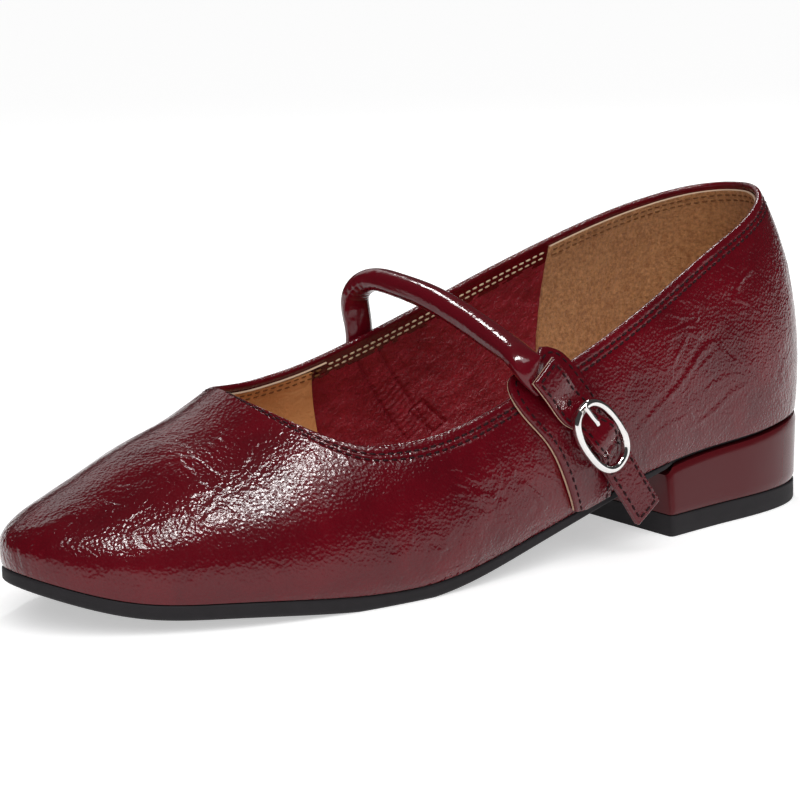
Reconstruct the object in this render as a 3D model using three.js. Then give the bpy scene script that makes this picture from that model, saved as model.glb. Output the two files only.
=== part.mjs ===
/**
 * Left mary jane shoe: an asymmetric last, a hollow upper, a sole with a low block heel, a lateral tab,
 * a rolled instep strap, a flat strap end and a pin buckle.
 *
 * Millimetres, +Z up. The pieces are worked out with the heel's back at x = 0, the toe towards +X, the
 * lateral side towards +Y and the floor at z = 0. The whole group is then moved so that its origin is
 * the middle of the bottom of its box.
 */
import * as THREE from 'three';
import { mergeVertices } from 'three/addons/utils/BufferGeometryUtils.js';

// ---------------------------------------------------------------- driving sizes

const LENGTH = 246;
const GAP = 0.3;                 // left between pieces that meet
const WALL = 1.8;                // leather and lining together
const HEEL_ROUND = { reach: 39.4, power: 2.25 };
const TOE_ROUND = { reach: 79, power: 1.96 };
const TUCK_TURN = THREE.MathUtils.degToRad(62);
const SECTION_POWER = 1.6;       // how full a section is over the widest line
const THROAT = { start: 159.5, end: 183, power: 2.42 };
const SPINE = { from: 36, to: 199, decay: 9, creep: 0.03 };

const SEAT_END = 65.3;             // the heel's flat breast
const SEAT_INSET = 1.8;
const TOP_PIECE = 5.7;
const HEEL_BASE_HALF_WIDTH = 31.8;
const INSOLE = { inset: 2.4, thick: 2 };

const TAB_THICK = 1.4;
const STRAP = { thick: 1.8, width: 9.6, inRing: 7.4, overBar: 9.2 };
const BUCKLE = {
  arc: 120.05, height: 33.65, turn: -0.088, lift: 5.7, longHalf: 9.95, shortHalf: 6.25, power: 2.4,
};
const RING_BAND = { width: 2.1, thick: 2.3 };
const BAR = { diameter: 1.5, lift: 4.0 };
const PRONG = { diameter: 1.3, lift: 7.8 };

// ---------------------------------------------------------------- tables and splines

/** Natural cubic spline through the points (xs, ys), as a function of x. */
function spline(xs, ys) {
  const last = xs.length - 1;
  const bend = new Array(last + 1).fill(0);
  const factor = new Array(last + 1).fill(0);
  for (let i = 1; i < last; i++) {
    const before = xs[i] - xs[i - 1];
    const after = xs[i + 1] - xs[i];
    const change = (ys[i + 1] - ys[i]) / after - (ys[i] - ys[i - 1]) / before;
    const pivot = 2 * (before + after) - before * factor[i - 1];
    factor[i] = after / pivot;
    bend[i] = (6 * change - before * bend[i - 1]) / pivot;
  }
  for (let i = last - 1; i > 0; i--) bend[i] -= factor[i] * bend[i + 1];

  return (x) => {
    let i = last - 1;
    while (i > 0 && x < xs[i]) i--;
    const span = xs[i + 1] - xs[i];
    const d = x - xs[i];
    const slope = (ys[i + 1] - ys[i]) / span - span * (2 * bend[i] + bend[i + 1]) / 6;
    return ys[i] + d * (slope + d * (bend[i] / 2 + d * (bend[i + 1] - bend[i]) / (6 * span)));
  };
}

/** Turns rows with named columns into one spline per column, over the first column. */
function table(names, rows) {
  const first = rows.map((row) => row[0]);
  return Object.fromEntries(names.slice(1).map(
    (name, column) => [name, spline(first, rows.map((row) => row[column + 1]))]));
}

// Half widths at the widest line, how far the wall tucks in below it, the feather line's height, the
// widest line's height above the feather line, and the height of the last's crown.
const last = table(
  ['x', 'lateral', 'medial', 'tuckLateral', 'tuckMedial', 'feather', 'widest', 'crown'], [
    [0, 28.5, 30.5, 0.3, 0.3, 27.4, 13.9, 101.9],
    [30, 27.9, 30.5, 1.4, 2.6, 23.5, 14.3, 104.4],
    [60, 31.6, 31.0, 2.4, 4.8, 21.2, 13.8, 104.6],
    [90, 35.6, 31.7, 2.6, 7.4, 15.6, 12.9, 97.9],
    [120, 39.4, 33.6, 2.5, 7.4, 8.6, 10.9, 82.0],
    [150, 42.7, 37.0, 1.9, 4.4, 3.8, 8.7, 63.5],
    [180, 41.6, 40.0, 1.6, 2.2, 4.7, 7.6, 51.6],
    [192, 41.0, 40.1, 1.3, 1.7, 5.8, 7.3, 45.1],
    [205, 40.3, 39.9, 1.0, 1.4, 6.7, 7.0, 40.5],
    [225, 38.7, 39.6, 0.7, 1.2, 8.2, 6.4, 34.2],
    [246, 38.8, 39.0, 0.6, 0.6, 14.6, 4.5, 32.7]]);

const ridge = table(['x', 'y'], [[0, 0.4], [60, 0.2], [120, -2.4], [190, -5.5], [246, -3.0]]);

// Where the topline lies between the widest line, 0, and the crown, 1.
const topline = table(['x', 'lateral', 'medial'], [
  [0, 0.582, 0.582], [30, 0.451, 0.521], [60, 0.327, 0.426], [90, 0.266, 0.384],
  [120, 0.282, 0.415], [150, 0.348, 0.511], [190, 0.516, 0.618]]);

const sole = table(['x', 'thick'], [
  [0, 1.0], [30, 1.0], [60, 1.2], [85, 2.3], [110, 2.8], [135, 3.2], [165, 3.7], [205, 3.7], [246, 3.6]]);

// ---------------------------------------------------------------- the last

const clamp = THREE.MathUtils.clamp;

/** Share of the full half width at x: a superellipse at the heel times one at the toe. */
function endRounding(x) {
  const heel = clamp(1 - x / HEEL_ROUND.reach, 0, 1);
  const toe = clamp((x - LENGTH + TOE_ROUND.reach) / TOE_ROUND.reach, 0, 1);
  return (1 - heel ** HEEL_ROUND.power) ** (1 / HEEL_ROUND.power)
    * (1 - toe ** TOE_ROUND.power) ** (1 / TOE_ROUND.power);
}

/** Length along a mean half outline from the heel's back, as pairs of x and arc. */
const outlineSteps = (() => {
  const steps = 4000;
  const meanHalfWidth = 36;
  const list = [{ x: 0, arc: 0 }];
  let y = 0;
  for (let i = 1; i <= steps; i++) {
    const x = LENGTH * (1 - Math.cos(Math.PI * i / steps)) / 2;
    const next = meanHalfWidth * endRounding(x);
    const before = list[i - 1];
    list.push({ x, arc: before.arc + Math.hypot(x - before.x, next - y) });
    y = next;
  }
  return list;
})();
const HALF_ARC = outlineSteps.at(-1).arc;

/** Reads one column of the outline's steps at a value of the other, by bisection. */
function lookUp(from, to, value) {
  let low = 0;
  let high = outlineSteps.length - 1;
  while (high - low > 1) {
    const middle = (low + high) >> 1;
    if (outlineSteps[middle][from] <= value) low = middle;
    else high = middle;
  }
  const a = outlineSteps[low];
  const b = outlineSteps[high];
  return a[to] + (b[to] - a[to]) * clamp((value - a[from]) / (b[from] - a[from]), 0, 1);
}
const xAt = (arc) => lookUp('arc', 'x', arc);
const arcAt = (x) => lookUp('x', 'arc', x);

const spineStart = arcAt(SPINE.from);
const spineEnd = arcAt(SPINE.to);

/** x of the ridge point that the section at an arc leans to. Past both ends it slows down and stops. */
function spineX(arc) {
  const slowed = (past) => (1 - SPINE.creep) * SPINE.decay * (1 - Math.exp(-past / SPINE.decay))
    + SPINE.creep * past;
  if (arc > spineEnd) return SPINE.to + slowed(arc - spineEnd);
  if (arc < spineStart) return SPINE.from - slowed(spineStart - arc);
  return xAt(arc);
}

/**
 * Point of the last. arc runs from 0 at the heel's back to HALF_ARC at the toe, positive on the lateral
 * side and negative on the medial. rise is -1 on the feather line, 0 on the widest line and 1 on the
 * ridge. Below the widest line the wall is a circular tuck. Above it the point goes out by
 * cos(a)^(2 / SECTION_POWER) and up by sin(a) of the way to the ridge, a = 90 degrees x rise.
 */
function lastPoint(arc, rise) {
  let along = Math.abs(arc);
  let lateral = arc >= 0;
  if (along > HALF_ARC) {
    along = 2 * HALF_ARC - along;
    lateral = !lateral;
  }
  const x = xAt(along);
  const halfWidth = (lateral ? last.lateral(x) : -last.medial(x)) * endRounding(x);
  const tuck = lateral ? last.tuckLateral(x) : last.tuckMedial(x);
  const ridgeX = spineX(along);
  const ridgeY = ridge.y(ridgeX);
  const reach = Math.hypot(x - ridgeX, halfWidth - ridgeY);
  const below = Math.min(rise, 0) * TUCK_TURN;
  const above = Math.max(rise, 0) * Math.PI / 2;
  const inward = tuck * (1 - Math.cos(below)) / (1 - Math.cos(TUCK_TURN));
  const out = Math.abs(Math.cos(above)) ** (2 / SECTION_POWER) * (rise < 1 ? 1 : 0) - inward / reach;
  const px = ridgeX + (x - ridgeX) * out;
  const py = ridgeY + (halfWidth - ridgeY) * out;
  const widest = last.feather(x) + last.widest(x);
  const pz = rise < 0
    ? widest + Math.sin(below) / Math.sin(TUCK_TURN) * last.widest(x)
    : widest + (last.crown(clamp(px, 0, LENGTH)) - widest) * Math.sin(above);
  return new THREE.Vector3(px, py, pz);
}

/** Outward normal of the last, from differences, or on the ridge from the crown's slope. */
function lastNormal(arc, rise) {
  if (rise > 0.999) {
    const x = spineX(Math.abs(arc));
    return new THREE.Vector3(last.crown(x - 0.5) - last.crown(x + 0.5), 0, 1).normalize();
  }
  const step = 0.1;
  const small = 0.004;
  const along = lastPoint(arc + step, rise).sub(lastPoint(arc - step, rise));
  const up = lastPoint(arc, Math.min(rise + small, 1)).sub(lastPoint(arc, Math.max(rise - small, -1)));
  return up.cross(along).normalize();
}

/** Point at a distance outside the last. */
const offLast = (arc, rise, distance) => lastPoint(arc, rise).addScaledVector(lastNormal(arc, rise), distance);

/** The rise at which the last reaches a height, no lower than just above the feather line. */
function riseAt(arc, height) {
  let low = -0.9;
  let high = 0.95;
  for (let i = 0; i < 30; i++) {
    const middle = (low + high) / 2;
    if (lastPoint(arc, middle).z < height) low = middle;
    else high = middle;
  }
  return (low + high) / 2;
}

/** Rise of the upper's top edge. Past the throat's start it closes to the ridge as a superellipse. */
function toplineRise(arc) {
  const x = xAt(Math.abs(arc));
  if (x >= THROAT.end) return 1;
  const rise = arc >= 0 ? topline.lateral(x) : topline.medial(x);
  const share = Math.max(0, (x - THROAT.start) / (THROAT.end - THROAT.start));
  return 1 - (1 - rise) * (1 - share ** THROAT.power) ** (1 / THROAT.power);
}

/** Outline point on the feather line, moved in towards the ridge. */
function rimPoint(arc, inset, z) {
  const point = lastPoint(arc, -1);
  const ridgeX = spineX(Math.abs(arc));
  const inward = new THREE.Vector2(ridgeX - point.x, ridge.y(ridgeX) - point.y).setLength(inset);
  return new THREE.Vector3(point.x + inward.x, point.y + inward.y, z);
}

// ---------------------------------------------------------------- closed meshes

/** Two triangles for each cell of a grid of points, turned over if flip is set. */
function skin(positions, grid, flip = false) {
  for (let i = 0; i + 1 < grid.length; i++) {
    for (let j = 0; j + 1 < grid[i].length; j++) {
      const corners = [grid[i][j], grid[i + 1][j], grid[i + 1][j + 1], grid[i][j + 1]];
      if (flip) corners.reverse();
      const [a, b, c, d] = corners;
      for (const point of [a, b, c, a, c, d]) positions.push(point.x, point.y, point.z);
    }
  }
}

/** A named mesh from skins that share their edges. Cells shrunk to a line are dropped. */
function piece(name, material, skins) {
  const positions = [];
  for (const { grid, flip } of skins) skin(positions, grid, flip);
  const loose = new THREE.BufferGeometry();
  loose.setAttribute('position', new THREE.Float32BufferAttribute(positions, 3));
  const geometry = mergeVertices(loose, 1e-3);
  const index = geometry.index.array;
  const kept = [];
  for (let i = 0; i < index.length; i += 3) {
    const [a, b, c] = index.slice(i, i + 3);
    if (a !== b && b !== c && c !== a) kept.push(a, b, c);
  }
  if (signedVolume(geometry.attributes.position, kept) < 0) kept.reverse();
  geometry.setIndex(kept);
  geometry.computeVertexNormals();
  const mesh = new THREE.Mesh(geometry, material);
  mesh.name = name;
  return mesh;
}

/** Six times the volume inside the triangles, negative where they face inwards. */
function signedVolume(position, index) {
  const corners = [new THREE.Vector3(), new THREE.Vector3(), new THREE.Vector3()];
  let sum = 0;
  for (let i = 0; i < index.length; i += 3) {
    corners.forEach((corner, k) => corner.fromBufferAttribute(position, index[i + k]));
    sum += corners[0].dot(corners[1].clone().cross(corners[2]));
  }
  return sum;
}

/** Skins of a plate: a ruled top and bottom from side to side, and an edge through the given levels. */
function plate(arcs, levels) {
  const edge = (side, arc, level) => level(side * arc, arc);
  const across = (level) => arcs.map((arc) => [edge(1, arc, level), edge(-1, arc, level)]);
  const wall = (side) => arcs.map((arc) => levels.map((level) => edge(side, arc, level)));
  const skins = [
    { grid: across(levels[0]) },
    { grid: across(levels.at(-1)), flip: true },
    { grid: wall(1), flip: true },
    { grid: wall(-1) }];
  const end = arcs.at(-1);
  if (end < HALF_ARC) {
    skins.push({ grid: levels.map((level) => [edge(1, end, level), edge(-1, end, level)]) });
  }
  return skins;
}

/**
 * Skins of a bar swept along stations of centre, normal, width and thick. Each section is a
 * superellipse, wide across the path and thick along the normal, and open sweeps end in flat caps.
 */
function sweep(stations, { sides = 12, power = 4, closed = false } = {}) {
  const count = stations.length;
  const ring = (station, i) => {
    const before = stations[closed ? (i + count - 1) % count : Math.max(i - 1, 0)];
    const after = stations[closed ? (i + 1) % count : Math.min(i + 1, count - 1)];
    const along = after.centre.clone().sub(before.centre).normalize();
    const side = along.clone().cross(station.normal).normalize();
    const normal = side.clone().cross(along);
    return Array.from({ length: sides + 1 }, (_, k) => {
      const angle = 2 * Math.PI * (k % sides) / sides;
      const round = (value) => Math.sign(value) * Math.abs(value) ** (2 / power);
      return station.centre.clone()
        .addScaledVector(side, round(Math.cos(angle)) * station.width / 2)
        .addScaledVector(normal, round(Math.sin(angle)) * station.thick / 2);
    });
  };
  const rings = stations.map(ring);
  if (closed) return [{ grid: [...rings, rings[0]] }];
  const cap = (points, centre) => [points, points.map(() => centre)];
  return [
    { grid: rings },
    { grid: cap(rings[0], stations[0].centre), flip: true },
    { grid: cap(rings.at(-1), stations.at(-1).centre) }];
}

/** Even stations along the smooth path through rows of centre, normal, width and thick. */
function stationsThrough(rows, count) {
  const place = rows.map((_, i) => i);
  const column = (read) => spline(place, rows.map(read));
  const vector = (key) => ['x', 'y', 'z'].map((axis) => column((row) => row[key][axis]));
  const centre = vector('centre');
  const normal = vector('normal');
  const width = column((row) => row.width);
  const thick = column((row) => row.thick);
  return Array.from({ length: count }, (_, i) => {
    const at = (rows.length - 1) * i / (count - 1);
    return {
      centre: new THREE.Vector3(...centre.map((f) => f(at))),
      normal: new THREE.Vector3(...normal.map((f) => f(at))).normalize(),
      width: width(at),
      thick: thick(at),
    };
  });
}

const steps = (from, to, count) => Array.from({ length: count + 1 }, (_, i) => from + (to - from) * i / count);

// ---------------------------------------------------------------- materials

const finish = (color, roughness, metalness = 0) => new THREE.MeshStandardMaterial({ color, roughness, metalness });
const patent = finish(0x5c0c18, 0.25);
const heelGloss = finish(0x4a1016, 0.2);
const rubber = finish(0x1c1c1e, 0.6);
const suede = finish(0xa87a48, 0.9);
const chrome = finish(0xd8d8da, 0.12, 1);

// ---------------------------------------------------------------- upper

/** Columns of one side, closer together where the topline turns in at the throat. */
const upperArcs = (() => {
  const throatX = steps(0, 1, 9).map((t) => THROAT.start + (THROAT.end - THROAT.start) * (1 - (1 - t) ** 2));
  const quarter = steps(0, arcAt(THROAT.start), 20);
  const vamp = steps(arcAt(THROAT.end), HALF_ARC, 15);
  return [...quarter.slice(0, -1), ...throatX.slice(0, -1).map(arcAt), ...vamp];
})();

const TUCK_ROWS = [-1, -0.55, 0];
const WALL_ROWS = 9;

/** Column of the upper's wall from the feather line to the topline, at a depth inside the last. */
function upperColumn(arc, depth) {
  const top = toplineRise(arc);
  const rises = [...TUCK_ROWS, ...steps(0, 1, WALL_ROWS).slice(1).map((share) => top * share)];
  return rises.map((rise) => offLast(arc, rise, -depth));
}

/** The wall between the last's surface and a second one inside it, open underneath and at the collar. */
function makeUpper() {
  const skins = [];
  for (const side of [1, -1]) {
    const arcs = upperArcs.map((arc) => (arc < HALF_ARC ? side * arc : HALF_ARC));
    const outer = arcs.map((arc) => upperColumn(arc, 0));
    const inner = arcs.map((arc) => upperColumn(arc, WALL));
    const open = upperArcs.filter((arc) => xAt(arc) <= THROAT.end + 1e-6).length;
    const rim = (read, count) => outer.slice(0, count).map((column, i) => [read(column), read(inner[i])]);
    skins.push(
      { grid: outer, flip: side > 0 },
      { grid: inner, flip: side < 0 },
      { grid: rim((column) => column.at(-1), open), flip: side > 0 },
      { grid: rim((column) => column[0], upperArcs.length), flip: side < 0 });
  }
  return piece('upper', patent, skins);
}

// ---------------------------------------------------------------- sole and heel

const soleArcs = steps(0, HALF_ARC, 48);

/** 1 over the heel seat, 0 past the breast. */
const seatShare = (x) => 1 - THREE.MathUtils.smoothstep(x, SEAT_END - 5, SEAT_END + 2);

const soleTop = (arc) => last.feather(xAt(arc)) - GAP;
const soleBottom = (arc) => Math.max(0, soleTop(arc) - sole.thick(xAt(arc)));

/** Outsole with arch, toe spring and a flat tread spot on the floor. It runs back under the heel seat. */
function makeOutsole() {
  const bevel = 0.6;
  const level = (extra, height) => (signed, arc) =>
    rimPoint(signed, SEAT_INSET * seatShare(xAt(arc)) + extra, height(arc));
  return piece('outsole', rubber, plate(soleArcs, [
    level(0, soleTop),
    level(0, (arc) => soleBottom(arc) + bevel),
    level(bevel, soleBottom)]));
}

const heelArcs = steps(0, arcAt(SEAT_END), 14);

/** Heel outline at a share of its height: the feather line above, a slightly narrower base below. */
function heelPoint(share) {
  return (signed, arc) => {
    const top = rimPoint(signed, -0.2, soleBottom(arc) - GAP);
    const narrow = HEEL_BASE_HALF_WIDTH / rimPoint(arcAt(SEAT_END), 0, 0).y;
    const base = rimPoint(signed, 0.3, TOP_PIECE + GAP);
    base.y *= 1 + (narrow - 1) * clamp(base.x / SEAT_END, 0, 1);
    return base.lerp(top, share);
  };
}

const makeHeelBlock = () => piece('heel_block', heelGloss, plate(heelArcs, steps(1, 0, 4).map(heelPoint)));

/** The walking face of the heel, with the block's own base outline. */
function makeTopPiece() {
  const level = (z) => (signed, arc) => heelPoint(0)(signed, arc).setZ(z);
  return piece('top_piece', rubber, plate(heelArcs, [level(TOP_PIECE), level(0)]));
}

/** Insole board inside the upper, over the outsole. */
function makeInsole() {
  const level = (rise) => (signed, arc) => rimPoint(signed, INSOLE.inset, last.feather(xAt(arc)) + rise);
  return piece('insole', suede, plate(soleArcs, [level(INSOLE.thick), level(0)]));
}

// ---------------------------------------------------------------- lateral tab

const tab = table(['height', 'front', 'rear'], [
  [14.4, 124.2, 110.4], [20, 127.2, 111.4], [28, 130.9, 112.3], [34, 134.6, 113.2], [40, 139.8, 114.6],
  [45, 142.8, 117.2], [49, 143.1, 120.2], [51.4, 140.0, 121.9], [53.0, 135.2, 123.3], [54.6, 133.0, 124.8],
  [55.8, 132.2, 126.6], [56.8, 131.4, 129.2]]);

/** Tongue sewn over the lateral wall, from the feather line to a rounded top over the topline. */
function makeTab() {
  const heights = [...steps(14.4, 45, 9), ...steps(45, 56.8, 7).slice(1)];
  const side = (distance) => heights.map((height) => steps(tab.front(height), tab.rear(height), 7)
    .map((arc) => offLast(arc, riseAt(arc, height), distance)));
  const inner = side(GAP);
  const outer = side(GAP + TAB_THICK);
  const between = (read) => [inner.map(read), outer.map(read)];
  return piece('strap_tab', patent, [
    { grid: outer },
    { grid: inner, flip: true },
    { grid: between((row) => row[0]), flip: true },
    { grid: between((row) => row.at(-1)) },
    { grid: [inner[0], outer[0]] },
    { grid: [inner.at(-1), outer.at(-1)], flip: true }]);
}

// ---------------------------------------------------------------- straps

/** Station on the wall: its arc, its height over the floor and its centre's distance from the last. */
function onWall(arc, height, lift, width, thick) {
  const rise = riseAt(arc, height);
  return { centre: offLast(arc, rise, lift), normal: lastNormal(arc, rise), width, thick };
}

/** Station in the open arch over the instep. Its normal points away from the middle of the foot. */
function inArch(x, y, z, width, thick) {
  return { centre: new THREE.Vector3(x, y, z), normal: new THREE.Vector3(0, y, z - 25).normalize(), width, thick };
}

const TAB_TOP = GAP + TAB_THICK;

/** Rolled strap: flat and sewn to the medial wall, round over the instep, flat again on the tab. */
function makeInstepStrap() {
  const rows = [
    onWall(-145.2, 30, GAP + 1.1, 11.0, 1.8),
    onWall(-145.2, 38, GAP + 1.3, 11.0, 2.2),
    onWall(-145.2, 46, GAP + 1.7, 9.8, 3.0),
    onWall(-145.6, 53, GAP + 2.4, 8.4, 4.2),
    inArch(125.3, -30.0, 60.2, 7.8, 5.4),
    inArch(125.5, -29.4, 66.0, 7.8, 6.0),
    inArch(123.8, -24.0, 69.9, 8.0, 6.2),
    inArch(122.0, -14.8, 69.4, 8.0, 6.3),
    inArch(119.9, -3.2, 67.2, 8.3, 6.4),
    inArch(118.4, 9.0, 63.6, 8.3, 6.3),
    inArch(117.9, 19.2, 60.3, 8.5, 6.3),
    inArch(117.9, 27.2, 57.9, 8.9, 5.9),
    inArch(118.1, 33.0, 56.2, 9.2, 5.2),
    onWall(138.4, 51.9, TAB_TOP + 3.6, 9.4, 3.6),
    onWall(136.2, 50.1, TAB_TOP + GAP + 1.8, 9.4, 2.2),
    onWall(133.8, 48.4, TAB_TOP + GAP + 1.0, 9.0, 1.4)];
  return piece('instep_strap', patent, sweep(stationsThrough(rows, 44), { sides: 14, power: 2.6 }));
}

/** Flat strap end: sewn over the roll, through the buckle and over its bar, with a free tail. */
function makeStrapEnd() {
  const { width, inRing, overBar, thick } = STRAP;
  const flat = TAB_TOP + GAP + thick / 2;
  const rows = [
    onWall(135.6, 50.4, flat + 3.6, width, thick),
    onWall(132.2, 46.6, flat + 2.3, width, thick),
    onWall(128.6, 43.2, flat + 0.3, width, thick),
    onWall(125.4, 40.2, flat + 0.1, width, thick),
    onWall(122.4, 36.8, flat + 1.3, inRing, thick),
    onWall(119.2, 33.4, BAR.lift + BAR.diameter / 2 + GAP + thick / 2, overBar, thick),
    onWall(116.0, 30.0, flat + 1.3, inRing, thick),
    onWall(113.2, 27.2, flat + 0.2, width, thick)];
  const turn = rows.at(-1);
  const tail = new THREE.Vector3(-11.1, 0.4, -16.4);
  for (const share of [0.4, 0.75, 1]) {
    rows.push({ ...turn, centre: turn.centre.clone().addScaledVector(tail, share) });
  }
  return piece('strap_end', patent, sweep(stationsThrough(rows, 46), { sides: 12, power: 5 }));
}

// ---------------------------------------------------------------- buckle

/** Buckle frame: its centre, normal, and axes along and across the strap. */
const buckle = (() => {
  const { centre, normal } = onWall(BUCKLE.arc, BUCKLE.height, 0);
  const along = onWall(BUCKLE.arc - 5, BUCKLE.height - 5, 0).centre
    .sub(onWall(BUCKLE.arc + 5, BUCKLE.height + 5, 0).centre).projectOnPlane(normal).normalize()
    .applyAxisAngle(normal, BUCKLE.turn);
  const across = normal.clone().cross(along);
  return { centre, normal, along, across };
})();

/** Point of the buckle at distances along and across the strap and a lift off the last. */
const buckleAt = (along, across, lift) => buckle.centre.clone().addScaledVector(buckle.along, along)
  .addScaledVector(buckle.across, across).addScaledVector(buckle.normal, lift);

/** Oval ring: a superellipse with its long axis near the strap's run. */
function makeRing() {
  const count = 44;
  const round = (value) => Math.sign(value) * Math.abs(value) ** (2 / BUCKLE.power);
  const stations = steps(0, 2 * Math.PI, count).slice(0, -1).map((angle) => ({
    centre: buckleAt(BUCKLE.longHalf * round(Math.cos(angle)), BUCKLE.shortHalf * round(Math.sin(angle)), BUCKLE.lift),
    normal: buckle.normal,
    width: RING_BAND.width,
    thick: RING_BAND.thick,
  }));
  return piece('buckle_ring', chrome, sweep(stations, { sides: 10, power: 2.6, closed: true }));
}

/** Round rod through a list of points. */
function rod(name, points, diameter) {
  const normal = buckle.normal.clone().addScaledVector(buckle.along, 0.01).normalize();
  const stations = points.map((centre) => ({ centre, normal, width: diameter, thick: diameter }));
  return piece(name, chrome, sweep(stations, { sides: 10, power: 2 }));
}

/** Bar across the ring, under the strap. */
function makeBar() {
  const half = BUCKLE.shortHalf - RING_BAND.width / 2 - GAP;
  return rod('buckle_bar', [-half, 0, half].map((across) => buckleAt(0, across, BAR.lift)), BAR.diameter);
}

/** Pin that comes up through the strap and rests on the ring. */
function makeProng() {
  const root = BAR.lift + BAR.diameter / 2 + 2 * GAP + STRAP.thick + PRONG.diameter / 2 - 0.2;
  return rod('buckle_prong', [
    buckleAt(-4.6, 0, root), buckleAt(-5.9, 0, root + 0.3),
    buckleAt(-7.8, 0, PRONG.lift), buckleAt(-11.1, 0, PRONG.lift)], PRONG.diameter);
}

// ---------------------------------------------------------------- the shoe

const shoe = new THREE.Group();
shoe.add(
  makeOutsole(), makeHeelBlock(), makeTopPiece(), makeInsole(), makeUpper(),
  makeTab(), makeInstepStrap(), makeStrapEnd(), makeRing(), makeBar(), makeProng());

const box = new THREE.Box3().setFromObject(shoe);
const middle = box.getCenter(new THREE.Vector3());
shoe.position.set(-middle.x, -middle.y, -box.min.z);

export default shoe;
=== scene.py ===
"""Mary jane shoe in burgundy crinkled patent, with a rolled strap: the visual model over the CAD frame.

Shapes are worked out in millimetres on the shoe's own last: x runs from the back of the heel to the toe,
y towards the lateral side and z up from the floor. "arc" is the length along the outline from the heel's
back, positive on the lateral side. "rise" is -1 on the feather line, 0 on the widest line, 1 on the ridge.
"""

import math

import bmesh
import bpy
import numpy as np
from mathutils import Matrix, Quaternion, Vector

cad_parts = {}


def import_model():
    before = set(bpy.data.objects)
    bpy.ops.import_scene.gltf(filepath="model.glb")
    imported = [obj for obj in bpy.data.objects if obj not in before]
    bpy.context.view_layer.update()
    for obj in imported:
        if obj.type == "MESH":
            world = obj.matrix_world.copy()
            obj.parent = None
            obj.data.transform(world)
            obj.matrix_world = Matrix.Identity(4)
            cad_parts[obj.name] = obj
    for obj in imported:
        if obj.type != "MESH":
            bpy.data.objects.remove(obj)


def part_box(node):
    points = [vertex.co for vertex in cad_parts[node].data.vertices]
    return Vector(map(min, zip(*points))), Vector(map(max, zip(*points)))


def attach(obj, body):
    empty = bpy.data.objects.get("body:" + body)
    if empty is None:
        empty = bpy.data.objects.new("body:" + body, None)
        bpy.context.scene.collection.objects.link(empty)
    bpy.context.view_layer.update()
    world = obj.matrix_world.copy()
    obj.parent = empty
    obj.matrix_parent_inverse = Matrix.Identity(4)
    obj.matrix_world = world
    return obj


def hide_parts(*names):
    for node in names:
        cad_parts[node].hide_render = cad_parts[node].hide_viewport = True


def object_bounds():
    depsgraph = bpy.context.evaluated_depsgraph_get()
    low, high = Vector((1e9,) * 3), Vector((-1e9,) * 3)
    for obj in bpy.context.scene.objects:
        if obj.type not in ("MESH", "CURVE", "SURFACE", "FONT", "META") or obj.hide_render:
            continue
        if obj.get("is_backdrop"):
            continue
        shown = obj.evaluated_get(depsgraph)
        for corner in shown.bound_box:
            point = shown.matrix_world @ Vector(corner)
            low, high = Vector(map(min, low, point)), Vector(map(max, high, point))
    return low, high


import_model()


def write_sizes(key, sizes):
    """Adds the model's lowest and highest corner to the sizes and returns them."""
    low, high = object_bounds()
    sizes[key] = [list(low), list(high)]
    return sizes


SIZES = write_sizes("cad", {})

# ---------------------------------------------------------------- sizes, in mm

LENGTH = 246.0
GAP = 0.3
WALL = 1.8
HEEL_ROUND = (39.4, 2.25)          # reach, power
TOE_ROUND = (79.0, 1.96)
OUTLINE_HALF_WIDTH = 36.0          # of the outline that arcs are measured along
TUCK_TURN = math.radians(62)
SECTION_POWER = 1.6
THROAT_START = 159.5
THROAT_END = 183.0
THROAT_POWER = 2.42
SPINE_FROM = 36.0
SPINE_TO = 199.0
SPINE_DECAY = 9.0
SPINE_CREEP = 0.03

SEAT_END = 65.3                    # the heel's flat breast
SEAT_INSET = 1.8
TOP_PIECE = 5.7
HEEL_BASE_HALF_WIDTH = 31.8
HEEL_CORNER = 1.8                  # radius of the block's top front corner
BREAST_CORNER = 1.6                # radius of the breast's upright corners
INSOLE_TOP = 2.0
INSOLE_INSET = 2.4

TAB_THICK = 1.4
TAB_TOP = GAP + TAB_THICK
TAB_FOOT = 14.4                    # heights of the tab's lower end, its waist and its upper end
TAB_WAIST = 45.0
TAB_PEAK = 56.8
TAB_STITCH_INSET = 2.0
STRAP_THICK = 1.8
STRAP_WIDTH = 9.6
STRAP_IN_RING = 7.4
STRAP_OVER_BAR = 9.2
STRAP_PITCH = (2.4, 2.5)           # of the stitches across the strap's end, and along it
STRAP_STITCH_INSET = 1.2
BUCKLE_ARC = 120.05
BUCKLE_HEIGHT = 33.65
BUCKLE_TURN = -0.088
RING_LIFT = 5.7
RING_LONG_HALF = 9.95
RING_SHORT_HALF = 6.25
RING_POWER = 2.4
RING_BAND_WIDTH = 2.1
RING_BAND_THICK = 2.3
BAR_DIAMETER = 1.5
BAR_LIFT = 4.0
PRONG_DIAMETER = 1.3
PRONG_LIFT = 7.8

PITCH = 2.35                       # of the topline's stitches
STITCH_SHARE = 0.82                # of the pitch that a stitch is long
STITCH_THICK = 0.66
STITCH_SINK = 0.04
ROWS_OUTSIDE = (2.7, 4.4)          # distances below the topline
ROWS_INSIDE = (3.3, 5.0)
FACING_DEPTH = 6.8
LINING_TOP = 1.8                   # the linings' cut edge below the topline
LINING_FRONT = 139.2               # x of the seam between vamp lining and quarter lining
LINING_LEAN = -13.0                # how far that seam leans along the arc
LINING_FOOT = 0.5                  # the linings' lower edge over the feather line
VAMP_LINING_DEPTH = WALL + 0.75
GRIP_DEPTH = WALL + 0.85
GRIP_FRONT = 65.0                  # x of the heel grip's front edge

FINE = 1.0


def many(count):
    return max(4, int(count * FINE))


# ---------------------------------------------------------------- splines and tables


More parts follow.
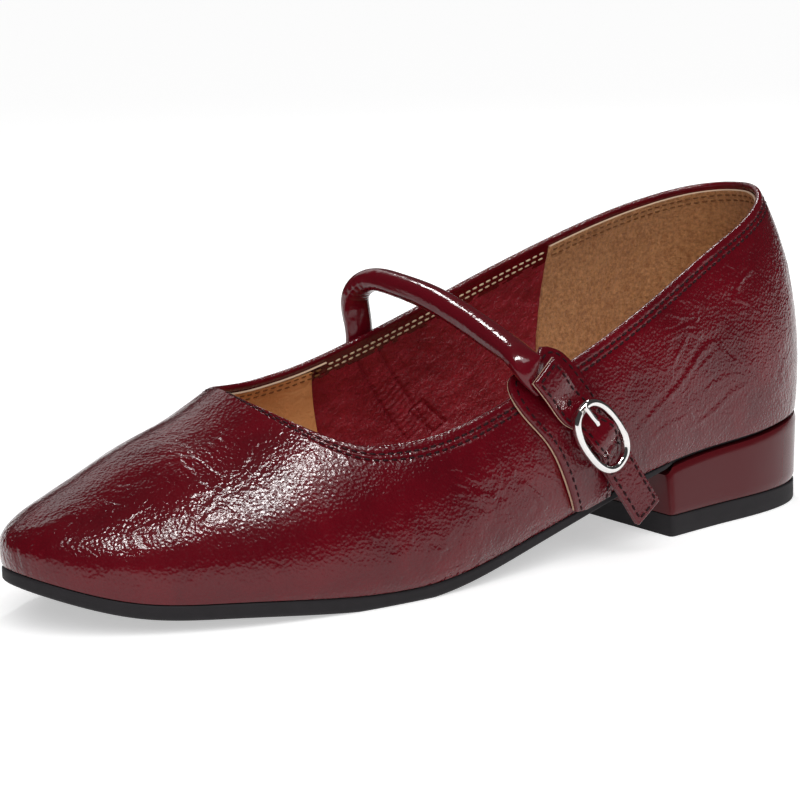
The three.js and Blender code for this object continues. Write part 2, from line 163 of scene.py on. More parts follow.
def spline(places, values):
    """Natural cubic spline through values at places. Values may have columns."""
    places = np.asarray(places, float)
    values = np.asarray(values, float)
    if values.ndim == 1:
        columns = values[:, None]
    else:
        columns = values
    span = np.diff(places)
    slope = np.diff(columns, axis=0) / span[:, None]
    size = len(places)
    matrix = np.eye(size)
    change = np.zeros_like(columns)
    for row in range(1, size - 1):
        matrix[row, row - 1] = span[row - 1]
        matrix[row, row] = 2 * (span[row - 1] + span[row])
        matrix[row, row + 1] = span[row]
        change[row] = 6 * (slope[row] - slope[row - 1])
    bend = np.linalg.solve(matrix, change)

    def at(place):
        place = np.asarray(place, float)
        i = np.clip(np.searchsorted(places, place, "right") - 1, 0, size - 2)
        d = (place - places[i])[..., None]
        h = span[i][..., None]
        first = slope[i] - h * (2 * bend[i] + bend[i + 1]) / 6
        result = columns[i] + d * (first + d * (bend[i] / 2 + d * (bend[i + 1] - bend[i]) / (6 * h)))
        return result[..., 0] if values.ndim == 1 else result

    return at


def table(names, rows):
    """One spline per named column, over the first column."""
    rows = np.array(rows, float)
    return {name: spline(rows[:, 0], rows[:, k + 1]) for k, name in enumerate(names.split()[1:])}


# Half widths at the widest line, how far the wall tucks in below it, the feather line's height, the
# widest line's height above the feather line, and the height of the last's crown.
LAST = table("x lateral medial tuck_lateral tuck_medial feather widest crown", [
    [0, 28.5, 30.5, 0.3, 0.3, 27.4, 13.9, 101.9],
    [30, 27.9, 30.5, 1.4, 2.6, 23.5, 14.3, 104.4],
    [60, 31.6, 31.0, 2.4, 4.8, 21.2, 13.8, 104.6],
    [90, 35.6, 31.7, 2.6, 7.4, 15.6, 12.9, 97.9],
    [120, 39.4, 33.6, 2.5, 7.4, 8.6, 10.9, 82.0],
    [150, 42.7, 37.0, 1.9, 4.4, 3.8, 8.7, 63.5],
    [180, 41.6, 40.0, 1.6, 2.2, 4.7, 7.6, 51.6],
    [192, 41.0, 40.1, 1.3, 1.7, 5.8, 7.3, 45.1],
    [205, 40.3, 39.9, 1.0, 1.4, 6.7, 7.0, 40.5],
    [225, 38.7, 39.6, 0.7, 1.2, 8.2, 6.4, 34.2],
    [246, 38.8, 39.0, 0.6, 0.6, 14.6, 4.5, 32.7]])

RIDGE = table("x y", [[0, 0.4], [60, 0.2], [120, -2.4], [190, -5.5], [246, -3.0]])

# Where the topline lies between the widest line, 0, and the crown, 1.
TOPLINE = table("x lateral medial", [
    [0, 0.582, 0.582], [30, 0.451, 0.521], [60, 0.327, 0.426], [90, 0.266, 0.384],
    [120, 0.282, 0.415], [150, 0.348, 0.511], [190, 0.516, 0.618]])

SOLE = table("x thick", [
    [0, 1.0], [30, 1.0], [60, 1.2], [85, 2.3], [110, 2.8], [135, 3.2], [165, 3.7], [205, 3.7], [246, 3.6]])

# Front and rear arc of the tab's outline over its height.
TAB = table("height front rear", [
    [14.4, 124.2, 110.4], [20, 127.2, 111.4], [28, 130.9, 112.3], [34, 134.6, 113.2], [40, 139.8, 114.6],
    [45, 142.8, 117.2], [49, 143.1, 120.2], [51.4, 140.0, 121.9], [53.0, 135.2, 123.3],
    [54.6, 133.0, 124.8], [55.8, 132.2, 126.6], [56.8, 131.4, 129.2]])

# ---------------------------------------------------------------- the last


def unit(vectors):
    """Vectors at length 1."""
    return vectors / np.maximum(np.linalg.norm(vectors, axis=-1, keepdims=True), 1e-12)


def end_rounding(x):
    """Share of the full half width at x: a superellipse at the heel times one at the toe."""
    heel = np.clip(1 - x / HEEL_ROUND[0], 0, 1)
    toe = np.clip((x - LENGTH + TOE_ROUND[0]) / TOE_ROUND[0], 0, 1)
    return ((1 - heel ** HEEL_ROUND[1]) ** (1 / HEEL_ROUND[1])
            * (1 - toe ** TOE_ROUND[1]) ** (1 / TOE_ROUND[1]))


OUTLINE_X = LENGTH * (1 - np.cos(np.pi * np.arange(4001) / 4000)) / 2
OUTLINE_Y = OUTLINE_HALF_WIDTH * end_rounding(OUTLINE_X)
OUTLINE_ARC = np.concatenate([[0], np.cumsum(np.hypot(np.diff(OUTLINE_X), np.diff(OUTLINE_Y)))])
HALF_ARC = OUTLINE_ARC[-1]


def x_at(arc):
    """x on the outline at an arc."""
    return np.interp(np.abs(arc), OUTLINE_ARC, OUTLINE_X)


def arc_at(x):
    """Arc of the outline at x."""
    return np.interp(x, OUTLINE_X, OUTLINE_ARC)


def spine_x(arc):
    """x of the ridge point that the section at an arc leans to. Past both ends it slows down and stops."""
    arc = np.abs(arc)
    start = arc_at(SPINE_FROM)
    end = arc_at(SPINE_TO)

    def slowed(past):
        return (1 - SPINE_CREEP) * SPINE_DECAY * (1 - np.exp(-past / SPINE_DECAY)) + SPINE_CREEP * past

    late = SPINE_TO + slowed(np.maximum(arc - end, 0))
    early = SPINE_FROM - slowed(np.maximum(start - arc, 0))
    return np.where(arc > end, late, np.where(arc < start, early, x_at(arc)))


def last_point(arc, rise):
    """
    Point of the last. A section runs from the outline to the ridge: below the widest line it is a
    circular tuck, above it out = cos(a)^(2/p) and up = sin(a) of the way to the ridge, a = 90 x rise.
    """
    arc, rise = np.broadcast_arrays(np.asarray(arc, float), np.asarray(rise, float))
    along = np.abs(arc)
    lateral = (arc >= 0) ^ (along > HALF_ARC)
    along = np.where(along > HALF_ARC, 2 * HALF_ARC - along, along)
    x = x_at(along)
    half_width = np.where(lateral, LAST["lateral"](x), -LAST["medial"](x)) * end_rounding(x)
    tuck = np.where(lateral, LAST["tuck_lateral"](x), LAST["tuck_medial"](x))
    ridge_x = spine_x(along)
    ridge_y = RIDGE["y"](ridge_x)
    reach = np.hypot(x - ridge_x, half_width - ridge_y)
    below = np.minimum(rise, 0) * TUCK_TURN
    above = np.clip(rise, 0, 1) * np.pi / 2
    inward = tuck * (1 - np.cos(below)) / (1 - math.cos(TUCK_TURN))
    out = np.abs(np.cos(above)) ** (2 / SECTION_POWER) * (rise < 1) - inward / reach
    px = ridge_x + (x - ridge_x) * out
    py = ridge_y + (half_width - ridge_y) * out
    widest = LAST["feather"](x) + LAST["widest"](x)
    crown = LAST["crown"](np.clip(px, 0, LENGTH))
    low = widest + np.sin(below) / math.sin(TUCK_TURN) * LAST["widest"](x)
    high = widest + (crown - widest) * np.sin(above)
    return np.stack([px, py, np.where(rise < 0, low, high)], -1)


def last_normal(arc, rise):
    """Outward normal of the last, from differences, or on the ridge from the crown's slope."""
    arc, rise = np.broadcast_arrays(np.asarray(arc, float), np.asarray(rise, float))
    along = last_point(arc + 0.1, rise) - last_point(arc - 0.1, rise)
    up = last_point(arc, np.minimum(rise + 0.004, 1)) - last_point(arc, np.maximum(rise - 0.004, -1))
    x = spine_x(arc)
    slope = LAST["crown"](x - 0.5) - LAST["crown"](x + 0.5)
    top = np.stack([slope, 0 * slope, 0 * slope + 1], -1)
    return unit(np.where((rise > 0.999)[..., None], top, np.cross(up, along)))


def off_last(arc, rise, distance):
    """Point at a distance outside the last."""
    return last_point(arc, rise) + last_normal(arc, rise) * np.asarray(distance, float)[..., None]


def rise_at(arc, height):
    """The rise at which the last reaches a height, by bisection."""
    arc, height = np.broadcast_arrays(np.asarray(arc, float), np.asarray(height, float))
    low = np.full(arc.shape, -0.9)
    high = np.full(arc.shape, 0.95)
    for _ in range(26):
        middle = (low + high) / 2
        under = last_point(arc, middle)[..., 2] < height
        low = np.where(under, middle, low)
        high = np.where(under, high, middle)
    return (low + high) / 2


def topline_rise(arc):
    """Rise of the upper's top edge. Past the throat's start it closes to the ridge as a superellipse."""
    arc = np.asarray(arc, float)
    x = x_at(arc)
    rise = np.where(arc >= 0, TOPLINE["lateral"](x), TOPLINE["medial"](x))
    share = np.clip((x - THROAT_START) / (THROAT_END - THROAT_START), 0, 1)
    closing = np.clip(1 - share ** THROAT_POWER, 0, 1) ** (1 / THROAT_POWER)
    return np.where(x >= THROAT_END, 1.0, 1 - (1 - rise) * closing)


def rim_point(arc, inset, z):
    """Point on the feather line, moved in towards the ridge and set at a height."""
    point = last_point(arc, -1)
    ridge_x = spine_x(arc)
    inward = unit(np.stack([ridge_x - point[..., 0], RIDGE["y"](ridge_x) - point[..., 1]], -1))
    flat = point[..., :2] + inward * np.asarray(inset, float)[..., None]
    return np.concatenate([flat, np.broadcast_to(z, arc.shape)[..., None]], -1)


SAMPLES = 161


def below_topline(arc, distance):
    """
    Rise at a distance below the topline, measured down the section's own curve: the section's length
    from the topline is summed over 160 steps and read backwards.
    """
    arc, distance = np.broadcast_arrays(np.asarray(arc, float), np.asarray(distance, float))
    shape = arc.shape
    arc = arc.ravel()
    distance = distance.ravel()
    unique, back = np.unique(arc, return_inverse=True)
    share = np.linspace(0, 1, SAMPLES)
    top = topline_rise(unique)[:, None]
    rise = top + (-1 - top) * share
    points = last_point(unique[:, None], rise)
    length = np.zeros(rise.shape)
    length[:, 1:] = np.cumsum(np.linalg.norm(np.diff(points, axis=1), axis=-1), axis=1)
    found = np.empty(len(arc))
    for k in range(len(unique)):
        mine = back == k
        found[mine] = np.interp(distance[mine], length[k], rise[k])
    return found.reshape(shape)


def section_length(arc):
    """Length of each section from the topline down to the feather line."""
    top = topline_rise(arc)[:, None]
    rise = top + (-1 - top) * np.linspace(0, 1, SAMPLES)
    points = last_point(arc[:, None], rise)
    return np.linalg.norm(np.diff(points, axis=1), axis=-1).sum(1)


# ---------------------------------------------------------------- meshes

LOW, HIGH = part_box("upper")
WIDEST = float((LAST["lateral"](OUTLINE_X) * end_rounding(OUTLINE_X)).max())
OFFSET = np.array([LOW.x * 1000, HIGH.y * 1000 - WIDEST, 0.0])


def world(points):
    """Millimetres on the last to metres in the row's frame."""
    return (np.asarray(points, float) + OFFSET) / 1000


def build(name, sheets, look, slot, *nodes, weld=0.004, sharp=40):
    """
    One piece from grids of points: neighbours in a grid make a face, equal points are merged. It rides on
    the shoe's one body, takes its finish from the look and stands for the named nodes. The slot is not
    used.
    """
    points = []
    faces = []
    start = 0
    for sheet in sheets:
        rows, columns = sheet.shape[:2]
        index = start + np.arange(rows * columns).reshape(rows, columns)
        corners = [index[:-1, :-1], index[1:, :-1], index[1:, 1:], index[:-1, 1:]]
        faces.append(np.stack(corners, -1).reshape(-1, 4))
        points.append(sheet.reshape(-1, 3))
        start += rows * columns
    data = bpy.data.meshes.new(name)
    data.from_pydata(world(np.concatenate(points)), [], np.concatenate(faces).tolist())
    shape = bmesh.new()
    shape.from_mesh(data)
    bmesh.ops.remove_doubles(shape, verts=shape.verts, dist=weld / 1000)
    bmesh.ops.recalc_face_normals(shape, faces=shape.faces)
    shape.to_mesh(data)
    shape.free()
    data.shade_smooth()
    data.set_sharp_from_angle(angle=math.radians(sharp))
    data.materials.append(look)
    thing = bpy.data.objects.new(name, data)
    bpy.context.collection.objects.link(thing)
    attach(thing, "root")
    if nodes:
        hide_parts(*nodes)
    return thing


def superellipse(sides, power):
    """Unit superellipse: |across|^p + |up|^p = 1, closed, as two rows of coordinates."""
    angle = 2 * np.pi * np.arange(sides + 1) / sides
    angle[-1] = 0.0
    cosine = np.cos(angle)
    sine = np.sin(angle)
    return (np.sign(cosine) * np.abs(cosine) ** (2 / power), np.sign(sine) * np.abs(sine) ** (2 / power))


def path_frame(centre, normal, closed=False):
    """Side and normal of each station, square to the path through the centres."""
    if closed:
        along = np.roll(centre, -1, 0) - np.roll(centre, 1, 0)
    else:
        along = np.gradient(centre, axis=0)
    along = unit(along)
    side = unit(np.cross(along, normal))
    return along, side, np.cross(side, along)


def carried(centre, side, normal, across, up):
    """A section carried along the stations: centre + side x across + normal x up."""
    return (centre[:, None] + side[:, None] * np.asarray(across)[..., None]
            + normal[:, None] * np.asarray(up)[..., None])


def capped(grid):
    """The grid with both open ends closed to their middles."""
    first = grid[0].mean(0)
    final = grid[-1].mean(0)
    return [np.concatenate([first + 0 * grid[:1], grid, final + 0 * grid[-1:]])]


def stations(rows, count):
    """Even stations along natural splines through rows of centre, normal, width and thick."""
    values = np.array([[*centre, *normal, width, thick] for centre, normal, width, thick in rows], float)
    path = spline(np.arange(len(rows)), values)(np.linspace(0, len(rows) - 1, count))
    return path[:, :3], unit(path[:, 3:6]), path[:, 6], path[:, 7]


def on_wall(arc, height, lift, width, thick):
    """Row of a strap on the wall: at an arc and a height, its centre lifted off the last."""
    rise = rise_at(arc, height)
    return off_last(arc, rise, lift), last_normal(arc, rise), width, thick


def in_arch(x, y, z, width, thick):
    """Row of a strap in the open arch over the instep, its normal pointing away from the foot's middle."""
    return np.array([x, y, z]), unit(np.array([0, y, z - 25.0])), width, thick


def stitched(points, normals, pitch=PITCH):
    """
    A row of stitches along a path: every pitch a small spindle, its section an ellipse whose radius
    swells from the ends, its ends dipped into the leather.
    """
    step = np.linalg.norm(np.diff(points, axis=0), axis=1)
    place = np.concatenate([[0], np.cumsum(step)])
    count = max(1, int(place[-1] / pitch))
    middle = (np.arange(count) + 0.5) * place[-1] / count
    ends = np.array([-1, -0.72, 0, 0.72, 1]) * pitch * STITCH_SHARE / 2
    swell = np.array([0.0, 0.85, 1.0, 0.85, 0.0]) * STITCH_THICK / 2
    dip = np.array([-0.45, -0.08, 0, -0.08, -0.45]) * STITCH_THICK - STITCH_SINK
    at = middle[:, None] + ends
    centre = np.stack([np.interp(at, place, points[:, k]) for k in range(3)], -1)
    normal = unit(np.stack([np.interp(at, place, normals[:, k]) for k in range(3)], -1))
    along = unit(centre[:, -1] - centre[:, 0])[:, None]
    side = unit(np.cross(along, normal))
    centre = centre + normal * dip[:, None]
    turn = 2 * np.pi * np.arange(7) / 6
    ring = (centre[:, :, None] + side[:, :, None] * (swell[:, None] * np.cos(turn))[..., None]
            + normal[:, :, None] * (swell[:, None] * np.sin(turn))[..., None])
    return list(ring)


# ---------------------------------------------------------------- looks


class Flow:
    """A number in a material's maths: it wraps a socket, and an expression on it adds Math nodes."""

    def __init__(self, tree, socket):
        self.tree = tree
        self.socket = socket

    def math(self, operation, *values, clamp=False):
        node = self.tree.nodes.new("ShaderNodeMath")
        node.operation = operation
        node.use_clamp = clamp
        for slot, value in zip(node.inputs, values):
            if isinstance(value, Flow):
                self.tree.links.new(value.socket, slot)
            else:
                slot.default_value = value
        return Flow(self.tree, node.outputs[0])

    def __add__(self, other):
        return self.math("ADD", self, other)

    def __radd__(self, other):
        return self.math("ADD", other, self)

    def __sub__(self, other):
        return self.math("SUBTRACT", self, other)

    def __rsub__(self, other):
        return self.math("SUBTRACT", other, self)

    def __mul__(self, other):
        return self.math("MULTIPLY", self, other)

    def __rmul__(self, other):
        return self.math("MULTIPLY", other, self)

    def __pow__(self, other):
        return self.math("POWER", self, other)

    def maximum(self, other):
        return self.math("MAXIMUM", self, other)

    def step(self, low, high):
        """0 below low, 1 above high, straight between."""
        return self.math("MULTIPLY", self - low, 1 / (high - low), clamp=True)


class Look:
    """A material under construction, around one Principled shader."""

    def __init__(self, name, **sockets):
        self.material = bpy.data.materials.new(name)
        self.material.use_nodes = True
        self.tree = self.material.node_tree
        self.shader = self.tree.nodes["Principled BSDF"]
        self.place = self.node("ShaderNodeTexCoord").outputs["Object"]
        for socket, value in sockets.items():
            self.shader.inputs[socket.replace("_", " ")].default_value = value

    def put(self, value, socket):
        """Links a number in the maths or a socket to a socket, or sets the socket to a constant."""
        if isinstance(value, Flow):
            value = value.socket
        if isinstance(value, bpy.types.NodeSocket):
            self.tree.links.new(value, socket)
        else:
            socket.default_value = value

    def node(self, kind, settings=None, **inputs):
        """A node of a type, its settings set first, then its sockets' values or links."""
        node = self.tree.nodes.new(kind)
        for key, value in (settings or {}).items():
            setattr(node, key, value)
        for key, value in inputs.items():
            self.put(value, node.inputs[key.replace("_", " ")])
        return node

    def turned(self, turn, x, y, z):
        """Object coordinates turned about the middle, then scaled along the turned axes."""
        straight = self.node("ShaderNodeMapping", Vector=self.place, Rotation=turn)
        return self.node("ShaderNodeMapping", Vector=straight.outputs[0], Scale=(x, y, z)).outputs[0]

    def noise(self, scale, detail=2.0, rough=0.5, twist=0.0, place=None):
        """Noise from 0 to 1 with scale bumps per metre."""
        made = self.node("ShaderNodeTexNoise", Vector=place or self.place, Scale=scale, Detail=detail,
                         Roughness=rough, Distortion=twist)
        return Flow(self.tree, made.outputs["Fac"])

    def cells(self, scale, smooth):
        """Smoothed distance to the centres of cells, scale of them per metre."""
        made = self.node("ShaderNodeTexVoronoi", {"feature": "SMOOTH_F1"}, Vector=self.place, Scale=scale,
                         Smoothness=smooth)
        return Flow(self.tree, made.outputs["Distance"])

    def mix(self, factor, first, second):
        """Blend of two colours."""
        made = self.node("ShaderNodeMix", {"data_type": "RGBA"})
        for place, value in ((0, factor), (6, first), (7, second)):
            self.put(value, made.inputs[place])
        return made.outputs[2]

    def feed(self, name, value):
        """Gives a value to one of the shader's sockets."""
        self.put(value, self.shader.inputs[name])

    def bump(self, height, distance, strength=1.0, under=None):
        """Bump node for heights from 0 to 1 of a distance in metres."""
        made = self.node("ShaderNodeBump", Height=height, Distance=distance, Strength=strength)
        if under is not None:
            self.tree.links.new(under, made.inputs["Normal"])
        return made.outputs[0]


def rgb(red, green, blue):
    """Display values of 0 to 255 as a linear colour."""
    return tuple((v / 255 / 12.92 if v < 10 else ((v / 255 + 0.055) / 1.055) ** 2.4)
                 for v in (red, green, blue)) + (1.0,)


def patent_look(name, colour, grain):
    """
    Crinkled patent: a glossy dark red skin with pebbles, long fine creases, slow waves, and veins where a
    smooth noise passes its middle value.
    """
    look = Look(name, Roughness=0.13, Coat_Weight=0.06, Coat_Roughness=0.4, Coat_IOR=1.4,
                Specular_IOR_Level=0.4)
    waves = look.noise(60, 3, 0.55, 0.5)
    pebbles = look.cells(1150, 0.5)
    crinkle = look.noise(1.0, 4, 0.62, 0.9, place=look.turned((0.0, 0.9, 0.0), 230, 460, 760))
    tight = look.noise(1.0, 3, 0.6, 0.6, place=look.turned((0.3, 0.5, 0.4), 700, 1000, 1500))
    middle = look.noise(1.0, 3, 0.55, 0.7, place=look.turned((0.2, 0.7, 0.3), 38, 62, 62))
    where = look.noise(26, 2, 0.5).step(0.42, 0.62)
    away = (middle - 0.5) * 16.0
    vein = (1.0 - away * away).maximum(0.0) * where
    deep = rgb(*colour)
    dark = rgb(*(v * 0.82 for v in colour))
    look.feed("Base Color", look.mix(waves.step(0.3, 0.7), dark, deep))
    coarse = look.bump(waves, 0.00038)
    veined = look.bump(vein, 0.00016, 1.0, coarse)
    creased = look.bump(crinkle, 0.00005, 1.0, veined)
    pebbled = look.bump(pebbles, 0.00013 * grain, 1.0, creased)
    look.feed("Normal", look.bump(tight, 0.00009 * grain, 1.0, pebbled))
    return look.material


def smooth_patent_look(name, colour):
    """Patent pulled tight over a roll: few creases, long highlights."""
    look = Look(name, Roughness=0.12, Coat_Weight=0.05, Coat_Roughness=0.4, Coat_IOR=1.4,
                Specular_IOR_Level=0.45, Base_Color=rgb(*colour))
    waves = look.noise(150, 2, 0.5, 0.4)
    fine = look.noise(1300, 2, 0.6)
    look.feed("Normal", look.bump(fine, 0.00005, 1.0, look.bump(waves, 0.0005, 0.7)))
    return look.material


def gloss_look(name, colour):
    """Lacquered heel cover, almost flat."""
    look = Look(name, Roughness=0.22, Specular_IOR_Level=0.25, Base_Color=rgb(*colour))
    look.feed("Normal", look.bump(look.noise(60, 2), 0.0004, 0.35))
    return look.material


def rubber_look(name, colour):
    """Matte rubber with a fine moulded texture."""
    look = Look(name, Roughness=0.7, Specular_IOR_Level=0.2)
    tone = look.noise(240, 3)
    look.feed("Base Color", look.mix(tone, rgb(*colour), rgb(*(v * 1.25 for v in colour))))
    look.feed("Normal", look.bump(look.noise(2600, 2), 0.00008, 0.5))
    return look.material


def leather_look(name, colour, pale, rough, grain=1.0):
    """Smooth lining leather with a faint grain."""
    look = Look(name, Roughness=rough, Specular_IOR_Level=0.45)
    look.feed("Base Color", look.mix(look.noise(90, 4, 0.6).step(0.3, 0.75), rgb(*colour), rgb(*pale)))
    fine = look.noise(900, 4, 0.65, 0.5)
    folds = look.bump(look.noise(160, 3, 0.6, 0.8), 0.0006)
    look.feed("Normal", look.bump(fine, 0.00022 * grain, 1.0, folds))
    return look.material


def nap_look(name, colour, pale, sheen):
    """Suede: a napped surface, lighter where it was brushed."""
    look = Look(name, Roughness=0.95, Specular_IOR_Level=0.1, Sheen_Weight=sheen, Sheen_Roughness=0.5)
    brushed = (look.noise(70, 5, 0.65) * 0.2 + look.noise(900, 3, 0.7) * 0.8).step(0.36, 0.64)
    look.feed("Base Color", look.mix(brushed, rgb(*colour), rgb(*pale)))
    lumps = look.bump(look.noise(300, 3), 0.0008)
    look.feed("Normal", look.bump(look.noise(1300, 5, 0.75), 0.0011, 1.0, lumps))
    return look.material


def plain_look(name, colour, rough, metal=0.0, shine=0.15):
    """One even finish."""
    look = Look(name, Roughness=rough, Metallic=metal, Specular_IOR_Level=shine, Base_Color=rgb(*colour))
    return look.material


PATENT = patent_look("patent", (98, 5, 19), 1.0)
PATENT_TRIM = patent_look("patent_trim", (96, 6, 20), 0.8)
ROLL = smooth_patent_look("rolled_patent", (94, 7, 21))
HEEL_GLOSS = gloss_look("heel_gloss", (80, 16, 22))
RUBBER = rubber_look("rubber", (34, 32, 34))
TAN = leather_look("tan_leather", (222, 156, 98), (238, 176, 118), 0.5)
SOCK = leather_look("sock_leather", (182, 128, 86), (200, 148, 104), 0.5)
BURGUNDY_LINING = leather_look("quarter_leather", (130, 14, 32), (160, 34, 50), 0.40, 3.6)
GRIP = nap_look("grip_suede", (190, 124, 72), (246, 184, 124), 0.25)
# Dark thread colour; the same material also paints the shade inside the strap end's free holes.
DARK_THREAD_AND_HOLE_SHADE = plain_look("dark_thread_and_hole_shade", (38, 7, 12), 0.6)
CREAM_THREAD = plain_look("cream_thread", (214, 190, 158), 0.7)
TAN_THREAD = plain_look("tan_thread", (128, 86, 52), 0.7)
CUT_EDGE = plain_look("cut_edge", (206, 176, 150), 0.8)
CHROME = plain_look("chrome", (232, 230, 228), 0.08, 1.0, 0.5)

# ---------------------------------------------------------------- the upper's surface

# Folds in the skin of the quarters: width and height in mm, then arc and height of points along each.
FOLDS = [
    (0.49, 0.18, [(49.0, 69.0), (57.0, 65.9), (60.8, 59.6), (61.4, 53.9)]),
    (0.58, 0.16, [(41.8, 75.6), (38.0, 71.8), (35.8, 66.7), (33.6, 62.9)]),
    (0.45, 0.13, [(47.3, 73.2), (44.2, 69.0), (37.9, 65.4)]),
    (0.81, 0.19, [(101.5, 31.0), (94.5, 35.7), (82.9, 42.7), (75.1, 49.3), (66.8, 51.6)]),
    (0.49, 0.10, [(78.7, 42.1), (73.2, 46.7), (68.7, 48.0)]),
    (0.63, 0.17, [(83.0, 29.1), (75.8, 30.4), (67.8, 33.7), (62.0, 36.8), (53.9, 37.7)]),
    (0.45, 0.14, [(102.9, 52.7), (102.4, 49.0), (104.5, 43.2), (107.0, 39.4)]),
    (0.45, 0.09, [(92.2, 54.7), (82.4, 56.4), (77.3, 57.2)]),
    (0.45, 0.10, [(67.9, 48.4), (58.9, 43.8), (53.7, 43.1)]),
    (0.53, 0.12, [(95.8, 27.7), (90.4, 31.2), (79.6, 33.0)]),
    (0.40, 0.08, [(60.8, 57.7), (51.8, 58.1), (44.9, 58.3)]),
    (0.53, 0.10, [(76.0, 37.4), (68.6, 40.7), (57.6, 41.2)]),
    (0.53, 0.09, [(31.1, 61.1), (32.7, 51.3), (33.2, 41.2)]),
    (0.45, 0.09, [(49.6, 45.0), (47.4, 40.8), (49.1, 38.0)]),
    (0.63, 0.14, [(21.0, 74.0), (24.0, 62.0), (22.0, 50.0)]),
    (0.58, 0.12, [(12.0, 66.0), (14.5, 54.0), (10.0, 44.0)]),
    (0.63, 0.16, [(-30.0, 72.0), (-36.0, 60.0), (-33.0, 48.0)]),
    (0.53, 0.14, [(-52.0, 66.0), (-60.0, 58.0), (-72.0, 54.0)]),
    (0.71, 0.17, [(-98.0, 30.0), (-86.0, 38.0), (-74.0, 43.0), (-62.0, 42.0)]),
    (0.53, 0.12, [(-90.0, 48.0), (-96.0, 42.0), (-104.0, 39.0)]),
    (0.63, 0.13, [(-120.0, 44.0), (-128.0, 36.0), (-136.0, 30.0)]),
    (0.71, 0.12, [(150.0, 20.0), (158.0, 24.0), (168.0, 26.0)]),
    (0.67, 0.10, [(-160.0, 22.0), (-170.0, 28.0), (-182.0, 30.0)])]


def folded(arc, height):
    """
    Height of the folds: each is a smooth line through its points, with a ridge exp(-(d/w)^2) of the signed
    distance d to the line and a trough beside it on the upper side, fading at both ends.
    """
    arc, height = np.broadcast_arrays(arc, height)
    total = np.zeros(arc.shape)
    for width, tall, points in FOLDS:
        points = np.array(points)
        line = spline(np.arange(len(points)), points)(np.linspace(0, len(points) - 1, 36))
        reach = 5 * width
        near = ((arc > line[:, 0].min() - reach) & (arc < line[:, 0].max() + reach)
                & (height > line[:, 1].min() - reach) & (height < line[:, 1].max() + reach))
        spot = np.stack([arc[near], height[near]], -1)
        away = spot[:, None] - line
        nearest = np.argmin((away ** 2).sum(-1), axis=1)
        run = np.gradient(line, axis=0)[nearest]
        gap = away[np.arange(len(spot)), nearest]
        signed = (run[:, 0] * gap[:, 1] - run[:, 1] * gap[:, 0]) / np.linalg.norm(run, axis=1)
        signed = signed * np.sign(run[:, 0] + 1e-9)
        fade = np.sin(np.pi * nearest / 35) ** 0.7
        ridge = np.exp(-(signed / width) ** 2)
        trough = np.exp(-((signed - 1.9 * width) / (1.2 * width)) ** 2)
        total[near] += tall * fade * (ridge - 0.6 * trough)
    return total


WAVES = 14                         # sine waves in a sum


def slow_waves(points, seed, shortest, longest, amount):
    """Sum of sine waves in random directions, of lengths between two in mm."""
    random = np.random.default_rng(seed)
    total = np.zeros(points.shape[:-1])
    for _ in range(WAVES):
        direction = unit(random.normal(size=3))
        length = random.uniform(shortest, longest)
        total += np.sin(points @ direction * 2 * np.pi / length + random.uniform(0, 6.28))
    return total * amount / math.sqrt(WAVES)


def skin_depth(arc, rise):
    """How deep the skin lies under the last's surface: creases and slow waves, none at the edges."""
    points = last_point(arc, rise)
    height = points[..., 2]
    calm = np.clip((rise + 1) / 0.3, 0, 1) * np.clip((topline_rise(arc) - rise) / 0.12, 0, 1)
    calm = np.where(topline_rise(arc) >= 1, np.clip((rise + 1) / 0.3, 0, 1), calm)
    depth = -folded(arc, height) + slow_waves(points, 3, 7, 16, 0.05) + slow_waves(points, 8, 3.2, 6, 0.018)
    return np.clip(depth, -0.25, 0.6) * calm


def open_arcs(step):
    """Arcs of one side from the heel to the throat's end, closer where the topline turns in."""
    straight = np.linspace(0, arc_at(THROAT_START), max(3, int(arc_at(THROAT_START) / step)))
    share = np.linspace(0, 1, max(4, int(60 / step)))
    turn = arc_at(THROAT_START + (THROAT_END - THROAT_START) * (1 - (1 - share) ** 2))
    return np.concatenate([straight[:-1], turn])


def drawn_in(arc, distance):
    """
    Depth that the two rows of stitches pull the skin in: 0.22 exp(-(d/0.6)^2) about each row, times
    1 + 0.35 cos of the run in pitches, so that it is deepest at the stitches' ends.
    """
    total = sum(np.exp(-((distance - row) / 0.6) ** 2) for row in ROWS_OUTSIDE)
    ripple = 1 + 0.35 * np.cos(arc * 2 * np.pi / PITCH)
    return 0.22 * total * ripple[:, None] * (x_at(arc) < THROAT_END)[:, None]


